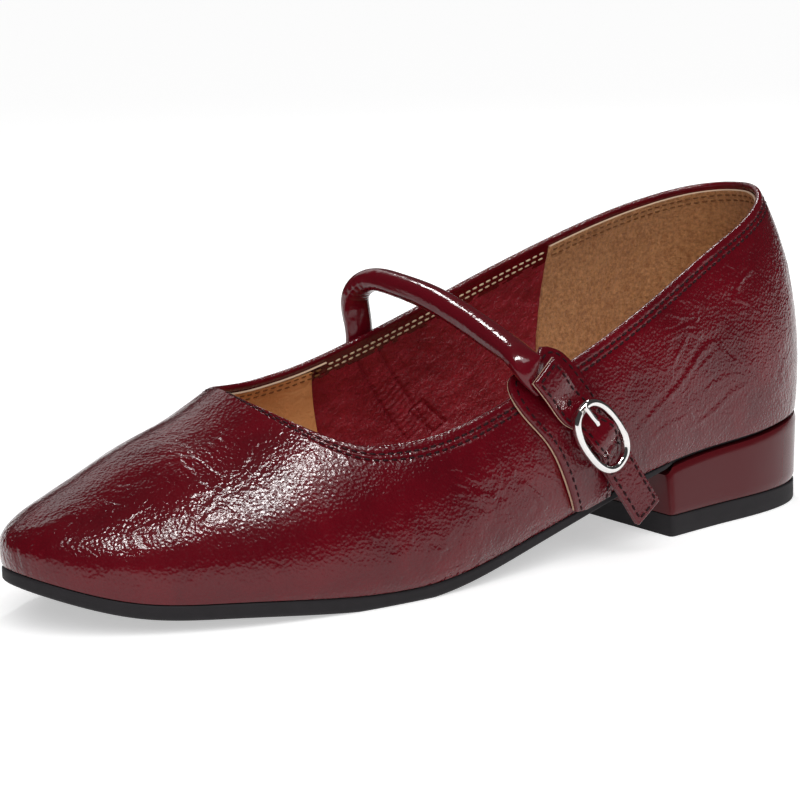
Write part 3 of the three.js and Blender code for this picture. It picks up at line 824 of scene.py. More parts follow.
def upper_shell():
    """
    Outer skin of both sides, its folded rim and the facing inside it. Down a column the outside runs from
    the feather line to 0.9 mm below the topline, a half circle of 0.9 mm radius turns over the rim, and the
    facing goes down the inside and turns back under its own edge.
    """
    step = 1.05 / FINE
    opened = open_arcs(step)
    closed = np.linspace(opened[-1], HALF_ARC, max(3, int((HALF_ARC - opened[-1]) / step)))
    radius = WALL / 2
    rows = many(110)
    sheets = []
    for side in (1, -1):
        arc = side * np.concatenate([opened, closed[1:]])
        arc[0] = 0.0
        length = section_length(arc)
        start = np.where(np.arange(len(arc)) < len(opened), radius, 0.0)
        share = np.linspace(0, 1, rows) ** 1.25
        distance = start[:, None] + (length - start)[:, None] * share
        rise = below_topline(arc[:, None], distance)
        rise[:, -1] = -1
        rise[len(opened) - 1:, 0] = 1
        depth = skin_depth(arc[:, None], rise) + drawn_in(arc, distance)
        sheets.append(off_last(arc[:, None], rise, -depth))
        lip = off_last(arc[:, None], np.broadcast_to(-1.0, (len(arc), 3)), -np.array([0.0, 0.5, WALL]))
        lip[:, 1:, 2] -= 0.1
        sheets.append(lip)
        rim = arc[:len(opened)]
        turn = np.linspace(0, np.pi, 9)
        top = topline_rise(rim)[:, None]
        base = below_topline(rim[:, None], radius + 0 * rim[:, None])
        outward = last_normal(rim[:, None], base)
        upward = unit(last_point(rim[:, None], np.minimum(top, 1)) - last_point(rim[:, None], base - 0.01))
        foot = last_point(rim[:, None], base)
        inward = radius - radius * np.cos(turn)
        rounded = foot - outward * inward[:, None] + upward * (radius * np.sin(turn))[:, None]
        down = np.linspace(radius, FACING_DEPTH, many(26))
        edge = FACING_DEPTH + np.array([0.25, 0.3, 0.2])
        levels = np.concatenate([down, edge])
        inner = below_topline(rim[:, None], levels + 0 * rim[:, None])
        deep = WALL + 0.22 * np.concatenate([np.clip((down - radius) / 2.5, 0, 1), [0.8, 0.2, -2.5]])
        facing = last_point(rim[:, None], inner) - last_normal(rim[:, None], base) * deep[:, None]
        sheets += [rounded, facing]
    return build("upper_shell", sheets, PATENT, "patent", "upper", weld=0.02, sharp=60)


def inside_wall(arc, top, depth, rows, lean=0.0):
    """
    A lining on the inside of the wall: from its cut edge, a distance below the topline, to just over the
    feather line. The sheet starts 0.45 mm less deep, rolls over its edge and lies at its depth. lean shifts
    its first edge along the arc towards the insole, fading out over 30 mm.
    """
    length = section_length(arc)
    share = np.linspace(0, 1, rows)
    distance = top + (length - LINING_FOOT - top)[:, None] * share
    rise = below_topline(arc[:, None], distance)
    deep = depth + 0 * share
    deep[0] = depth - 0.45
    distance[:, 1] = distance[:, 0] + 0.05
    rise[:, 1] = rise[:, 0] - 0.001
    fade = np.clip(1 - np.abs(arc - arc[0]) / 30, 0, 1)
    return off_last(arc[:, None] + lean * fade[:, None] * (share - 0.35), rise, -deep + 0 * rise)


def toe_arcs(start, step=2.0):
    """Arcs of one side from a start, through the throat, to its end."""
    opened = open_arcs(step)
    return np.concatenate([[start], opened[opened > start + 0.5]])


def vamp_lining():
    """Tan lining over the whole toe, up to the throat, from the seam to the toe on both sides."""
    sheets = []
    for side in (1, -1):
        opened = toe_arcs(arc_at(LINING_FRONT))
        closed = np.linspace(opened[-1], HALF_ARC, 40)[1:]
        front = side * np.concatenate([opened[-1:], closed])
        lean = LINING_LEAN * side
        sheets.append(inside_wall(side * opened, LINING_TOP, VAMP_LINING_DEPTH, many(70), lean))
        sheets.append(inside_wall(front, 1.2, VAMP_LINING_DEPTH, many(70)))
    return build("vamp_lining", sheets, TAN, "vamp_lining", sharp=60)


def quarter_lining():
    """Burgundy lining between the vamp lining and the heel grip, on both sides."""
    sheets = []
    for side in (1, -1):
        arc = side * np.linspace(arc_at(GRIP_FRONT) - 6, arc_at(LINING_FRONT) + 6, many(270))
        length = section_length(arc)
        share = np.linspace(0, 1, many(120))
        distance = FACING_DEPTH - 0.8 + (length - FACING_DEPTH + 0.3)[:, None] * share
        rise = below_topline(arc[:, None], distance)
        points = last_point(arc[:, None], rise)
        press = pressed(arc[:, None], points[..., 2]) if side < 0 else 0 * rise
        rumple = slow_waves(points, 21, 4, 9, 0.12) + slow_waves(points, 22, 2, 4, 0.05)
        sheets.append(off_last(arc[:, None], rise, -(WALL + 0.2 + rumple - press)))
    return build("quarter_lining", sheets, BURGUNDY_LINING, "quarter_lining", sharp=60)


# Lines pressed through the medial lining by the strap's anchor: points of arc and height.
ANCHOR_LINES = [
    [(-147.6, 49.0), (-147.4, 47.4), (-140.4, 37.1), (-134.6, 28.8), (-129.4, 22.6)],
    [(-140.8, 50.5), (-140.3, 49.3), (-133.7, 40.4), (-127.8, 32.9), (-121.9, 23.1)],
    [(-124.9, 33.4), (-116.9, 26.2)],
    [(-128.8, 30.9), (-121.0, 23.7)],
    [(-124.9, 33.4), (-128.8, 30.9)],
    [(-116.9, 26.2), (-121.0, 23.7)]]


def pressed(arc, height):
    """
    Depth of the anchor's lines: 0.75 exp(-(d/0.45)^2) of the distance to each, and short puckers across the
    strip between them, sin of the run along it.
    """
    arc, height = np.broadcast_arrays(arc, height)
    total = np.zeros(arc.shape)
    for points in ANCHOR_LINES:
        points = np.array(points, float)
        line = spline(np.arange(len(points)), points)(np.linspace(0, len(points) - 1, 60))
        near = ((arc > line[:, 0].min() - 3) & (arc < line[:, 0].max() + 3)
                & (height > line[:, 1].min() - 3) & (height < line[:, 1].max() + 3))
        spot = np.stack([arc[near], height[near]], -1)
        away = np.sqrt(((spot[:, None] - line) ** 2).sum(-1)).min(1)
        total[near] = np.maximum(total[near], 0.75 * np.exp(-(away / 0.45) ** 2))
    along = (arc + 147) * 0.66 - (height - 48) * 0.75
    across = (arc + 137) * 0.75 + (height - 39) * 0.66
    strip = np.exp(-((across / 5.5) ** 4)) * np.clip((along - 8) / 6, 0, 1) * (along < 32)
    return total + 0.11 * np.sin(along * 3.3 + 0.8 * np.sin(across)) * strip


def heel_grip():
    """Suede grip around the heel, over the quarter lining's ends."""
    arc = np.linspace(-arc_at(GRIP_FRONT), arc_at(GRIP_FRONT), many(170))
    grid = inside_wall(arc, LINING_TOP, GRIP_DEPTH, many(60))
    tails = []
    for k in (0, -1):
        behind = off_last(arc[k], below_edge(arc[k], len(grid[k])), -WALL - 0.1)
        tails.append(np.stack([grid[k], behind], 0))
    return build("heel_grip", [grid, *tails], GRIP, "heel_grip", sharp=60)


def below_edge(arc, rows):
    """Rises of a lining's front edge, from its top to the insole."""
    length = section_length(np.array([arc]))[0]
    distance = LINING_TOP + (length - LINING_FOOT - LINING_TOP) * np.linspace(0, 1, rows)
    return below_topline(np.full(rows, arc), distance)


def cut_edges():
    """Pale cut edge along the top of the vamp lining and the heel grip, a cord 0.24 by 0.6 mm."""
    sheets = []
    back = arc_at(GRIP_FRONT)
    runs = [np.linspace(-back, back, many(200))]
    runs += [side * toe_arcs(arc_at(LINING_FRONT), 1.2) for side in (1, -1)]
    for arc in runs:
        base = below_topline(arc, LINING_TOP + 0 * arc)
        points = last_point(arc, base) - last_normal(arc, base) * (WALL + 0.52)
        _, side, up = path_frame(points, last_normal(arc, base))
        across, tall = superellipse(8, 3)
        flat = np.ones((len(arc), 1))
        sheets.append(carried(points, side, up, across * 0.12 * flat, tall * 0.30 * flat))
    return build("lining_cut_edges", sheets, CUT_EDGE, "raw_edge", sharp=60)


def sewn(name, sheets, look=DARK_THREAD_AND_HOLE_SHADE, slot="thread_dark"):
    """A piece made of rows of stitches."""
    return build(name, sheets, look, slot, weld=0.0001, sharp=180)


def topline_stitches():
    """Two dark rows outside, below the topline, running on around the throat."""
    sheets = []
    for distance in ROWS_OUTSIDE:
        for side in (1, -1):
            arc = side * open_arcs(1.2)
            rise = below_topline(arc, distance + 0 * arc)
            points = off_last(arc, rise, -skin_depth(arc, rise) - 0.14)
            sheets += stitched(points, last_normal(arc, rise))
    return sewn("topline_stitches", sheets)


def inside_rows(arc, depth):
    """Sheets of both rows of stitches along an arc on the inside."""
    sheets = []
    for distance in ROWS_INSIDE:
        base = below_topline(arc, 0.9 + 0 * arc)
        rise = below_topline(arc, distance + 0 * arc)
        normals = -last_normal(arc, base)
        sheets += stitched(last_point(arc, rise) + normals * depth, normals)
    return sheets


def facing_stitches():
    """Two cream rows inside, between the linings' edges."""
    sheets = []
    for side in (1, -1):
        arc = side * np.linspace(arc_at(GRIP_FRONT) + 1, arc_at(LINING_FRONT) - 1, 160)
        sheets += inside_rows(arc, WALL + 0.22)
    return sewn("facing_stitches", sheets, CREAM_THREAD, "thread_cream")


def lining_stitches():
    """Two brown rows inside, through the vamp lining and the heel grip."""
    back = arc_at(GRIP_FRONT) - 1
    sheets = inside_rows(np.linspace(-back, back, 240), WALL + 0.82)
    for side in (1, -1):
        sheets += inside_rows(side * toe_arcs(arc_at(LINING_FRONT) + 1, 1.2), WALL + 0.72)
    return sewn("lining_stitches", sheets, TAN_THREAD, "thread_cream")


# ---------------------------------------------------------------- sole and heel


def seat_share(x):
    """1 over the heel seat, 0 past the breast, smooth between."""
    t = np.clip((x - SEAT_END + 5) / 7, 0, 1)
    return 1 - t * t * (3 - 2 * t)


def sole_top(arc):
    """Height of the outsole's upper edge."""
    return LAST["feather"](x_at(arc)) - GAP


def sole_bottom(arc):
    """Height of the outsole's lower edge, on the floor where it would pass below it."""
    return np.maximum(0, sole_top(arc) - SOLE["thick"](x_at(arc)))


def plate(levels):
    """Grids of a plate: its edge through the levels, and top and bottom ruled from side to side."""
    left, right = levels
    top = np.stack([left[:, 0] + (right[:, 0] - left[:, 0]) * t for t in np.linspace(0, 1, 13)], 1)
    bottom = np.stack([left[:, -1] + (right[:, -1] - left[:, -1]) * t for t in np.linspace(0, 1, 13)], 1)
    return [left, right, top, bottom]


def outsole():
    """Thin sole with a matte edge, eased in by 0.25 mm at its top and by 0.75 mm at its bottom."""
    arc = np.linspace(0, HALF_ARC, many(420))
    inset = SEAT_INSET * seat_share(x_at(arc))
    top = sole_top(arc)
    bottom = sole_bottom(arc)
    sides = []
    for side in (1, -1):
        levels = []
        for share in np.linspace(0, 1, 12):
            height = bottom + (top - bottom) * (1 - share)
            eased = 0.75 * np.clip((share - 0.72) / 0.28, 0, 1) ** 2.2
            eased = eased + 0.25 * np.clip((0.12 - share) / 0.12, 0, 1) ** 2
            levels.append(rim_point(side * arc, inset - 0.2 + eased, height))
        sides.append(np.stack(levels, 1))
    return build("outsole", plate(sides), RUBBER, "sole_rubber", "outsole")


def heel_outline(share, inset):
    """
    Closed outline of the heel at a share of its height, from the breast's lateral corner around the back,
    with both corners of the breast rounded by 1.6 mm.
    """
    end = arc_at(SEAT_END)
    arc = np.linspace(end, -end, many(180))
    positive = np.abs(arc)
    past = np.clip(x_at(positive) - SEAT_END + HEEL_CORNER, 0, HEEL_CORNER)
    drop = HEEL_CORNER - np.sqrt(HEEL_CORNER ** 2 - past ** 2)
    top = rim_point(arc, -0.2 + inset + 0 * arc, sole_bottom(positive) - GAP - drop)
    base = rim_point(arc, 0.3 + inset + 0 * arc, TOP_PIECE + GAP + 0 * arc)
    narrow = HEEL_BASE_HALF_WIDTH / rim_point(np.array([end]), np.array([0.0]), 0.0)[0, 1]
    base[:, 1] *= 1 + (narrow - 1) * np.clip(base[:, 0] / SEAT_END, 0, 1)
    curve = base + (top - base) * share
    radius = BREAST_CORNER
    run = np.concatenate([[0], np.cumsum(np.linalg.norm(np.diff(curve[:, :2], axis=0), axis=1))])
    kept = np.linspace(radius, run[-1] - radius, many(200))
    side = np.stack([np.interp(kept, run, curve[:, k]) for k in range(3)], -1)

    def corner(point, before, after):
        t = np.linspace(0, 1, 10)[:, None]
        return (1 - t) ** 2 * before + 2 * t * (1 - t) * point + t ** 2 * after

    first = curve[0]
    final = curve[-1]
    across = unit(final - first)
    breast_a = first + across * radius
    breast_b = final - across * radius
    breast = breast_b + (breast_a - breast_b) * np.linspace(0, 1, 24)[:, None]
    return np.concatenate([
        corner(first, breast_a, side[0])[:-1], side[:-1], corner(final, side[-1], breast_b)[:-1], breast])


def heel_sheets(rows):
    """Grids through outlines given from top to bottom, closed at both ends to their middles."""
    grid = np.stack(rows, 1)
    caps = []
    for edge in (grid[:, 0], grid[:, -1]):
        middle = edge.mean(0)
        caps.append(np.stack([edge + (middle - edge) * t for t in np.linspace(0, 1, 6)], 1))
    return [grid, *caps]


def heel_block():
    """Covered block with a flat breast, its top and bottom edges eased by 0.45 mm."""
    rows = []
    for share in np.linspace(1, 0, 14):
        top = np.clip((share - 0.94) / 0.06, 0, 1) ** 2
        foot = np.clip((0.05 - share) / 0.05, 0, 1) ** 2
        rows.append(heel_outline(share, 0.45 * (top + foot)))
    return build("heel_block", heel_sheets(rows), HEEL_GLOSS, "heel_cover", "heel_block")


def top_piece():
    """Rubber walking face with the block's outline, its upper and lower edges eased."""
    rows = []
    levels = [(TOP_PIECE, 0.35), (TOP_PIECE - 0.3, 0.05), (TOP_PIECE / 2, 0),
              (0.5, 0), (0.12, 0.15), (0, 0.5)]
    for height, ease in levels:
        outline = heel_outline(0.0, ease)
        outline[:, 2] = height
        rows.append(outline)
    return build("top_piece", heel_sheets(rows), RUBBER, "sole_rubber", "top_piece")


def insole_sock():
    """Sock leather on the insole board, its edge turned down 0.6 mm."""
    arc = np.linspace(0, HALF_ARC, many(240))
    feather = LAST["feather"](x_at(arc))
    sides = []
    for side in (1, -1):
        levels = [rim_point(side * arc, INSOLE_INSET + ease + 0 * arc, feather + INSOLE_TOP + height)
                  for height, ease in ((0, 0.8), (-0.25, 0.2), (-0.6, 0), (-2.0, 0))]
        sides.append(np.stack(levels, 1))
    return build("insole_sock", plate(sides), SOCK, "insole_leather", "insole")


# ---------------------------------------------------------------- tab, straps and buckle


def tab_heights(below, above, top):
    """Heights along the tab: a count of them up to its waist and a count over it."""
    lower = np.linspace(TAB_FOOT, TAB_WAIST, below)[:-1]
    return np.concatenate([lower, np.linspace(TAB_WAIST, top, above)])


def tab_grid(distance, grow):
    """
    Outer face of the tab at a distance off the last, its outline grown outward by an amount. Outward
    growth turns inward over the waist, where the strap covers the edge.
    """
    height = tab_heights(90, 90, TAB_PEAK)
    grow = np.where(grow > 0, grow - 2.2 * grow * np.clip((height - TAB_WAIST + 1) / 3, 0, 1), grow)
    front = TAB["front"](height) + grow
    rear = TAB["rear"](height) - grow
    arc = front[:, None] + (rear - front)[:, None] * np.linspace(0, 1, 40)
    tall = height + grow * np.clip((height - TAB_PEAK + 6.8) / 6.8, 0, 1)
    tall = np.broadcast_to(tall[:, None], arc.shape)
    return off_last(arc, rise_at(arc, tall), distance + 0 * arc)


def edge_of(grid):
    """Closed loop of a grid's border points."""
    return np.concatenate([grid[0], grid[1:, -1], grid[-1, -2::-1], grid[-2::-1, 0]])


def layered(distances, grows):
    """Grids of a plate on the wall: faces at the first and last distance, its edge through them all."""
    faces = [tab_grid(distances[0], grows[0]), tab_grid(distances[-1], grows[-1])]
    loops = np.stack([edge_of(tab_grid(d, g)) for d, g in zip(distances, grows)], 1)
    return [*faces, loops]


def strap_tab():
    """Patent face of the tab, its top edge rounded."""
    sheets = layered([0.85, 1.2, 1.5, TAB_TOP], [0.0, 0.0, -0.1, -0.45])
    return build("strap_tab", sheets, PATENT_TRIM, "patent", "strap_tab", sharp=70)


def tab_raw_edge():
    """Pale cut edge of the tab's backing, showing 0.1 mm past its face."""
    return build("tab_raw_edge", layered([0.3, 0.86], [0.1, 0.1]), CUT_EDGE, "raw_edge", sharp=70)


def tab_stitches():
    """A dark row 2 mm inside the tab's outline."""
    top = TAB_PEAK - 2.2
    height = tab_heights(60, 40, top)
    front = TAB["front"](height) - TAB_STITCH_INSET
    rear = TAB["rear"](height) + TAB_STITCH_INSET
    over = np.linspace(front[-1], rear[-1], 30)
    arc = np.concatenate([front, over[1:-1], rear[::-1]])
    crest = top + 0.6 * np.sin(np.linspace(0, np.pi, 30))[1:-1]
    rise = rise_at(arc, np.concatenate([height, crest, height[::-1]]))
    sheets = stitched(off_last(arc, rise, TAB_TOP + 0 * arc), last_normal(arc, rise), pitch=STRAP_PITCH[0])
    return sewn("tab_stitches", sheets)


ROLL_ROWS = [
    on_wall(-145.2, 30, GAP + 1.1, 11.0, 1.8),
    on_wall(-145.2, 38, GAP + 1.3, 11.0, 2.2),
    on_wall(-145.2, 46, GAP + 1.7, 9.8, 3.0),
    on_wall(-145.6, 53, GAP + 2.4, 8.4, 4.2),
    in_arch(125.3, -30.0, 60.2, 7.8, 5.4),
    in_arch(125.5, -29.4, 66.0, 7.8, 6.0),
    in_arch(123.8, -24.0, 69.9, 8.0, 6.2),
    in_arch(122.0, -14.8, 69.4, 8.0, 6.3),
    in_arch(119.9, -3.2, 67.2, 8.3, 6.4),
    in_arch(118.4, 9.0, 63.6, 8.3, 6.3),
    in_arch(117.9, 19.2, 60.3, 8.5, 6.3),
    in_arch(117.9, 27.2, 57.9, 8.9, 5.9),
    in_arch(118.1, 33.0, 56.2, 9.2, 5.2),
    on_wall(138.4, 51.9, TAB_TOP + 3.6, 9.4, 3.6),
    on_wall(136.2, 50.1, TAB_TOP + GAP + 1.8, 9.4, 2.2),
    on_wall(133.8, 48.4, TAB_TOP + GAP + 1.0, 9.0, 1.4)]


def instep_strap():
    """
    Rolled strap: a superellipse of power 2.3 along the arch, with a thin lip along each of its two lower
    edges, where its skin is turned and sewn, and small wrinkles where it bends.
    """
    centre, normal, width, thick = stations(ROLL_ROWS, many(300))
    _, side, up = path_frame(centre, normal)
    across, rise = superellipse(many(56), 2.3)
    angle = np.arctan2(rise, across)
    lip = np.exp(-((angle + 0.35) / 0.16) ** 2) + np.exp(-((np.abs(angle + np.pi - 0.35)) / 0.16) ** 2)
    swell = 1 + 0.05 * lip
    bend = np.exp(-((np.linspace(0, 1, len(centre)) - 0.36) / 0.05) ** 2)
    ripple = 1 + 0.02 * np.sin(np.arange(len(centre)) * 1.1)[:, None] * bend[:, None] * (rise < 0)
    grid = carried(centre, side, up, across * swell * ripple * width[:, None] / 2,
                   rise * ripple * thick[:, None] / 2)
    return build("instep_strap", capped(grid), ROLL, "rolled_strap", "instep_strap", sharp=70)


FLAT = TAB_TOP + GAP + STRAP_THICK / 2
OVER_BAR = BAR_LIFT + BAR_DIAMETER / 2 + GAP + STRAP_THICK / 2
END_PATH = [
    (135.6, 50.4, FLAT + 3.6, STRAP_WIDTH),
    (132.2, 46.6, FLAT + 2.3, STRAP_WIDTH),
    (128.6, 43.2, FLAT + 0.3, STRAP_WIDTH),
    (125.4, 40.2, FLAT + 0.1, STRAP_WIDTH),
    (122.4, 36.8, FLAT + 1.3, STRAP_IN_RING),
    (119.2, 33.4, OVER_BAR, STRAP_OVER_BAR),
    (116.0, 30.0, FLAT + 1.3, STRAP_IN_RING),
    (113.2, 27.2, FLAT + 0.2, STRAP_WIDTH)]
END_ROWS = [on_wall(*row, STRAP_THICK) for row in END_PATH]
TAIL = np.array([-11.1, 0.4, -16.4])
LEAVING, UPWARD, _, _ = END_ROWS[-1]
END_ROWS += [(LEAVING + TAIL * share, UPWARD, STRAP_WIDTH, STRAP_THICK) for share in (0.4, 0.75, 1.0)]

END_CENTRE, END_NORMAL, END_WIDTH, _ = stations(END_ROWS, 320)
_, END_SIDE, END_UP = path_frame(END_CENTRE, END_NORMAL)
END_RUN = np.concatenate([[0], np.cumsum(np.linalg.norm(np.diff(END_CENTRE, axis=0), axis=1))])
HOLES = (12.7,)                    # distances of the free holes from the lap edge


def strip(width_extra, low, high, start, end):
    """
    Flat strip between two levels of the strap's thickness, from a run to another. Its face is domed by
    0.12 mm, its edges rounded, and holes of 0.9 mm radius are sunk into it by 0.7 mm.
    """
    kept = (END_RUN >= start) & (END_RUN <= end)
    centre = END_CENTRE[kept]
    side = END_SIDE[kept]
    up = END_UP[kept]
    half = END_WIDTH[kept][:, None] / 2 + width_extra
    run = END_RUN[kept][:, None]
    share = np.sin(np.linspace(-np.pi / 2, np.pi / 2, 40))
    across = share * half
    edge = np.clip((np.abs(share) - 0.93) / 0.07, 0, 1)
    face = high + 0.12 * (1 - share ** 2) - 0.3 * edge ** 2 + 0 * across
    for hole in HOLES:
        away = np.hypot(run - hole, across)
        face = face - 0.7 * np.clip((0.95 - away) / 0.15, 0, 1)
    ease = np.clip(np.minimum(run - start, end - run) / 0.5, 0, 1)
    face = face - 0.3 * (1 - ease) ** 2
    top = carried(centre, side, up, across, face)
    under = carried(centre, side, up, across, low + 0 * across)
    rims = [np.stack([top[:, k], under[:, k]], 1) for k in (0, -1)]
    ends = [np.stack([top[k], under[k]], 1) for k in (0, -1)]
    return [top, under, *rims, *ends]


def strap_end():
    """Upper leather of the flat strap end."""
    sheets = strip(0.0, -0.1, STRAP_THICK / 2 - 0.12, 0.0, END_RUN[-1])
    return build("strap_end", sheets, PATENT_TRIM, "patent", "strap_end", sharp=60)


def strap_end_hole_painted_shade():
    """Painted shade in each free hole: a dark disc of 0.85 mm radius, 0.15 mm under the strap's face,
    standing for the shade down the hole.
    """
    sheets = []
    for hole in HOLES:
        k = int(np.argmin(np.abs(END_RUN - hole)))
        across, along = superellipse(20, 2.0)
        forward = np.cross(END_UP[k], END_SIDE[k])
        middle = END_CENTRE[k] + END_UP[k] * (STRAP_THICK / 2 - 0.15)
        loop = middle + 0.85 * (END_SIDE[k] * across[:, None] + forward * along[:, None])
        under = loop - END_UP[k] * 0.3
        sheets.append(np.stack([middle + 0 * loop, loop, under, middle - END_UP[k] * 0.3 + 0 * loop], 0))
    return build("strap_end_hole_painted_shade", sheets, DARK_THREAD_AND_HOLE_SHADE, "thread_dark", sharp=60)


def strap_end_backing():
    """Under leather of the strap end."""
    sheets = strip(-0.05, -STRAP_THICK / 2, -0.35, 0.15, END_RUN[-1] - 0.1)
    return build("strap_end_backing", sheets, PATENT_TRIM, "patent", sharp=60)


def strap_end_raw_edge():
    """Pale line of cut leather between the two layers, 0.05 mm proud, along the first 19 mm."""
    sheets = strip(0.05, -0.36, -0.1, -0.05, 19.0)
    return build("strap_end_raw_edge", sheets, CUT_EDGE, "raw_edge", sharp=60)


def strap_end_stitches():
    """Dark rows along both edges of the strap end, closed across the tail and across the lap."""
    sheets = []
    high = STRAP_THICK / 2
    inner = END_RUN[-1] - 1.4
    kept = (END_RUN > 1.4) & (END_RUN < inner)
    for side in (1, -1):
        across = side * (END_WIDTH / 2 - STRAP_STITCH_INSET)
        points = END_CENTRE + END_SIDE * across[:, None] + END_UP * high
        sheets += stitched(points[kept], END_UP[kept], pitch=STRAP_PITCH[1])
    for run in (1.3, inner):
        k = int(np.argmin(np.abs(END_RUN - run)))
        share = np.linspace(-1, 1, 20)
        half = END_WIDTH[k] / 2 - STRAP_STITCH_INSET
        points = END_CENTRE[k] + END_SIDE[k] * (share * half)[:, None] + END_UP[k] * (high + 0.1)
        normals = np.broadcast_to(END_UP[k], points.shape)
        sheets += stitched(points, normals, pitch=STRAP_PITCH[0])
    return sewn("strap_end_stitches", sheets)


BUCKLE_CENTRE, BUCKLE_NORMAL, _, _ = on_wall(BUCKLE_ARC, BUCKLE_HEIGHT, 0, 0, 0)
BUCKLE_ALONG = (on_wall(BUCKLE_ARC - 5, BUCKLE_HEIGHT - 5, 0, 0, 0)[0]
                - on_wall(BUCKLE_ARC + 5, BUCKLE_HEIGHT + 5, 0, 0, 0)[0])
BUCKLE_ALONG = unit(BUCKLE_ALONG - BUCKLE_NORMAL * (BUCKLE_ALONG @ BUCKLE_NORMAL))
BUCKLE_ALONG = (BUCKLE_ALONG * math.cos(BUCKLE_TURN)
                + np.cross(BUCKLE_NORMAL, BUCKLE_ALONG) * math.sin(BUCKLE_TURN))
BUCKLE_ACROSS = np.cross(BUCKLE_NORMAL, BUCKLE_ALONG)


def buckle_at(along, across, lift):
    """Point of the buckle: distances along and across the strap and a lift off the last."""
    along, across, lift = np.broadcast_arrays(*(np.asarray(v, float) for v in (along, across, lift)))
    return (BUCKLE_CENTRE + BUCKLE_ALONG * along[..., None] + BUCKLE_ACROSS * across[..., None]
            + BUCKLE_NORMAL * lift[..., None])


def buckle_ring():
    """Oval ring: a superellipse path that carries a low rounded band."""
    along, across = superellipse(many(160), RING_POWER)
    centre = buckle_at(RING_LONG_HALF * along[:-1], RING_SHORT_HALF * across[:-1], RING_LIFT)
    normal = np.broadcast_to(BUCKLE_NORMAL, centre.shape)
    _, side, up = path_frame(centre, normal, closed=True)
    wide, tall = superellipse(24, 2.4)
    grid = carried(centre, side, up, np.broadcast_to(wide * RING_BAND_WIDTH / 2, (len(centre), 25)),
                   np.broadcast_to(tall * RING_BAND_THICK / 2, (len(centre), 25)))
    sheets = [np.concatenate([grid, grid[:1]])]
    return build("buckle_ring", sheets, CHROME, "buckle_metal", "buckle_ring", sharp=70)


def rod(name, points, diameter, tip):
    """Round rod through points, its ends closed by half ellipses of a tip length."""
    path = spline(np.arange(len(points)), np.array(points))(np.linspace(0, len(points) - 1, 40))
    normal = np.broadcast_to(unit(BUCKLE_NORMAL + 0.02 * BUCKLE_ALONG), path.shape)
    along, side, up = path_frame(path, normal)
    turn = np.linspace(0, np.pi / 2, 7)
    before = path[0] - along[0] * (tip * np.cos(turn[:-1]))[:, None]
    after = path[-1] + along[-1] * (tip * np.sin(turn[1:]))[:, None]
    radius = np.concatenate([np.sin(turn[:-1]), np.ones(40), np.cos(turn[1:])]) * diameter / 2
    centre = np.concatenate([before, path, after])
    side = np.concatenate([np.repeat(side[:1], 6, 0), side, np.repeat(side[-1:], 6, 0)])
    up = np.concatenate([np.repeat(up[:1], 6, 0), up, np.repeat(up[-1:], 6, 0)])
    wide, tall = superellipse(18, 2.0)
    grid = carried(centre, side, up, wide * radius[:, None], tall * radius[:, None])
    return build(name, [grid], CHROME, "buckle_metal", name, sharp=70)


def buckle_bar():
    """Bar across the ring, under the strap."""
    half = RING_SHORT_HALF - RING_BAND_WIDTH / 2 - GAP
    return rod("buckle_bar", [buckle_at(0, v, BAR_LIFT) for v in (-half, 0, half)], BAR_DIAMETER, 0.1)


def buckle_prong():
    """Pin that comes up through the strap and rests on the ring."""
    root = BAR_LIFT + BAR_DIAMETER / 2 + 2 * GAP + STRAP_THICK + PRONG_DIAMETER / 2 - 0.2
    points = [buckle_at(-4.6, 0, root), buckle_at(-5.9, 0, root + 0.3),
              buckle_at(-7.8, 0, PRONG_LIFT), buckle_at(-11.1, 0, PRONG_LIFT)]
    return rod("buckle_prong", points, PRONG_DIAMETER, 0.3)


PIECES = [
    upper_shell, vamp_lining, quarter_lining, heel_grip, topline_stitches, facing_stitches,
    lining_stitches, cut_edges, outsole, heel_block, top_piece, insole_sock, strap_tab, tab_raw_edge,
    tab_stitches, instep_strap, strap_end, strap_end_hole_painted_shade, strap_end_backing, strap_end_raw_edge,
    strap_end_stitches, buckle_ring, buckle_bar, buckle_prong]
for piece in PIECES:
    piece()

# ---------------------------------------------------------------- stage, light and camera


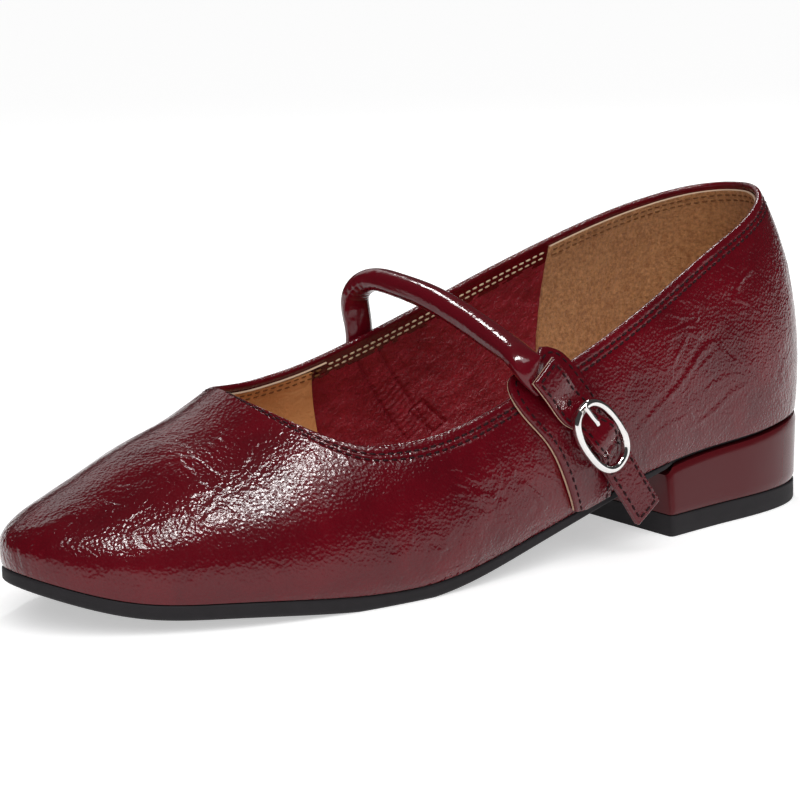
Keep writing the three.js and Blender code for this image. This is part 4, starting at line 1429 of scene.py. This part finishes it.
def floor():
    """Flat pale floor under the shoe, 12 m wide, that also shines a little by itself."""
    look = Look("paper", Roughness=0.9, Base_Color=(0.86, 0.86, 0.86, 1), Emission_Color=(1, 1, 1, 1),
                Emission_Strength=0.48)
    data = bpy.data.meshes.new("paper")
    data.from_pydata([(-6, -6, 0), (6, -6, 0), (6, 6, 0), (-6, 6, 0)], [], [(0, 1, 2, 3)])
    data.materials.append(look.material)
    thing = bpy.data.objects.new("paper", data)
    bpy.context.collection.objects.link(thing)
    thing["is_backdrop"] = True


def softbox(name, place, aim, width, height, power, diffuse=True):
    """Rectangular area light at a place in mm on the last, turned to an aim."""
    lamp = bpy.data.lights.new(name, "AREA")
    lamp.shape = "RECTANGLE"
    lamp.size = width
    lamp.size_y = height
    lamp.energy = power
    thing = bpy.data.objects.new(name, lamp)
    start = Vector(world(place))
    thing.location = start
    thing.rotation_mode = "QUATERNION"
    thing.rotation_quaternion = (Vector(world(aim)) - start).to_track_quat("-Z", "Y")
    thing.visible_diffuse = diffuse
    bpy.context.collection.objects.link(thing)


floor()
scene = bpy.context.scene
scene.view_settings.view_transform = "Standard"
air = bpy.data.worlds.new("air")
air.use_nodes = True
air.node_tree.nodes["Background"].inputs[0].default_value = (1, 1, 1, 1)
air.node_tree.nodes["Background"].inputs[1].default_value = 0.05
scene.world = air

sun = bpy.data.lights.new("daylight", "SUN")
sun.energy = 2.3
sun.angle = math.radians(70)
daylight = bpy.data.objects.new("daylight", sun)
daylight.rotation_mode = "QUATERNION"
daylight.rotation_quaternion = Vector((-0.30, -0.62, -0.85)).to_track_quat("-Z", "Y")
daylight.visible_glossy = False
bpy.context.collection.objects.link(daylight)

softbox("overhead", (205, 330, 1000), (190, 20, 40), 0.42, 0.11, 8.5, diffuse=False)
softbox("side", (-42, 518, 1003), (190, 20, 50), 0.25, 0.50, 1.5, diffuse=False)
softbox("wall", (0, -980, 720), (190, 0, 50), 0.90, 0.50, 1.6)
softbox("back", (-330, -640, 960), (120, 0, 60), 0.10, 0.30, 2.6)

EYE = np.array([485.32, 518.07, 162.09])
AIM = np.array([126.95, -7.21, 39.82])
CAMERA_ROLL = math.radians(-1.15)

lens = bpy.data.cameras.new("camera")
lens.lens = 109.78
lens.sensor_width = 36
camera = bpy.data.objects.new("camera", lens)
bpy.context.collection.objects.link(camera)
eye = Vector(world(EYE))
aim = Vector(world(AIM))
camera.location = eye
camera.rotation_mode = "QUATERNION"
roll = Quaternion((0, 0, 1), CAMERA_ROLL)
camera.rotation_quaternion = (aim - eye).to_track_quat("-Z", "Y") @ roll
scene.camera = camera

write_sizes("visual", SIZES)
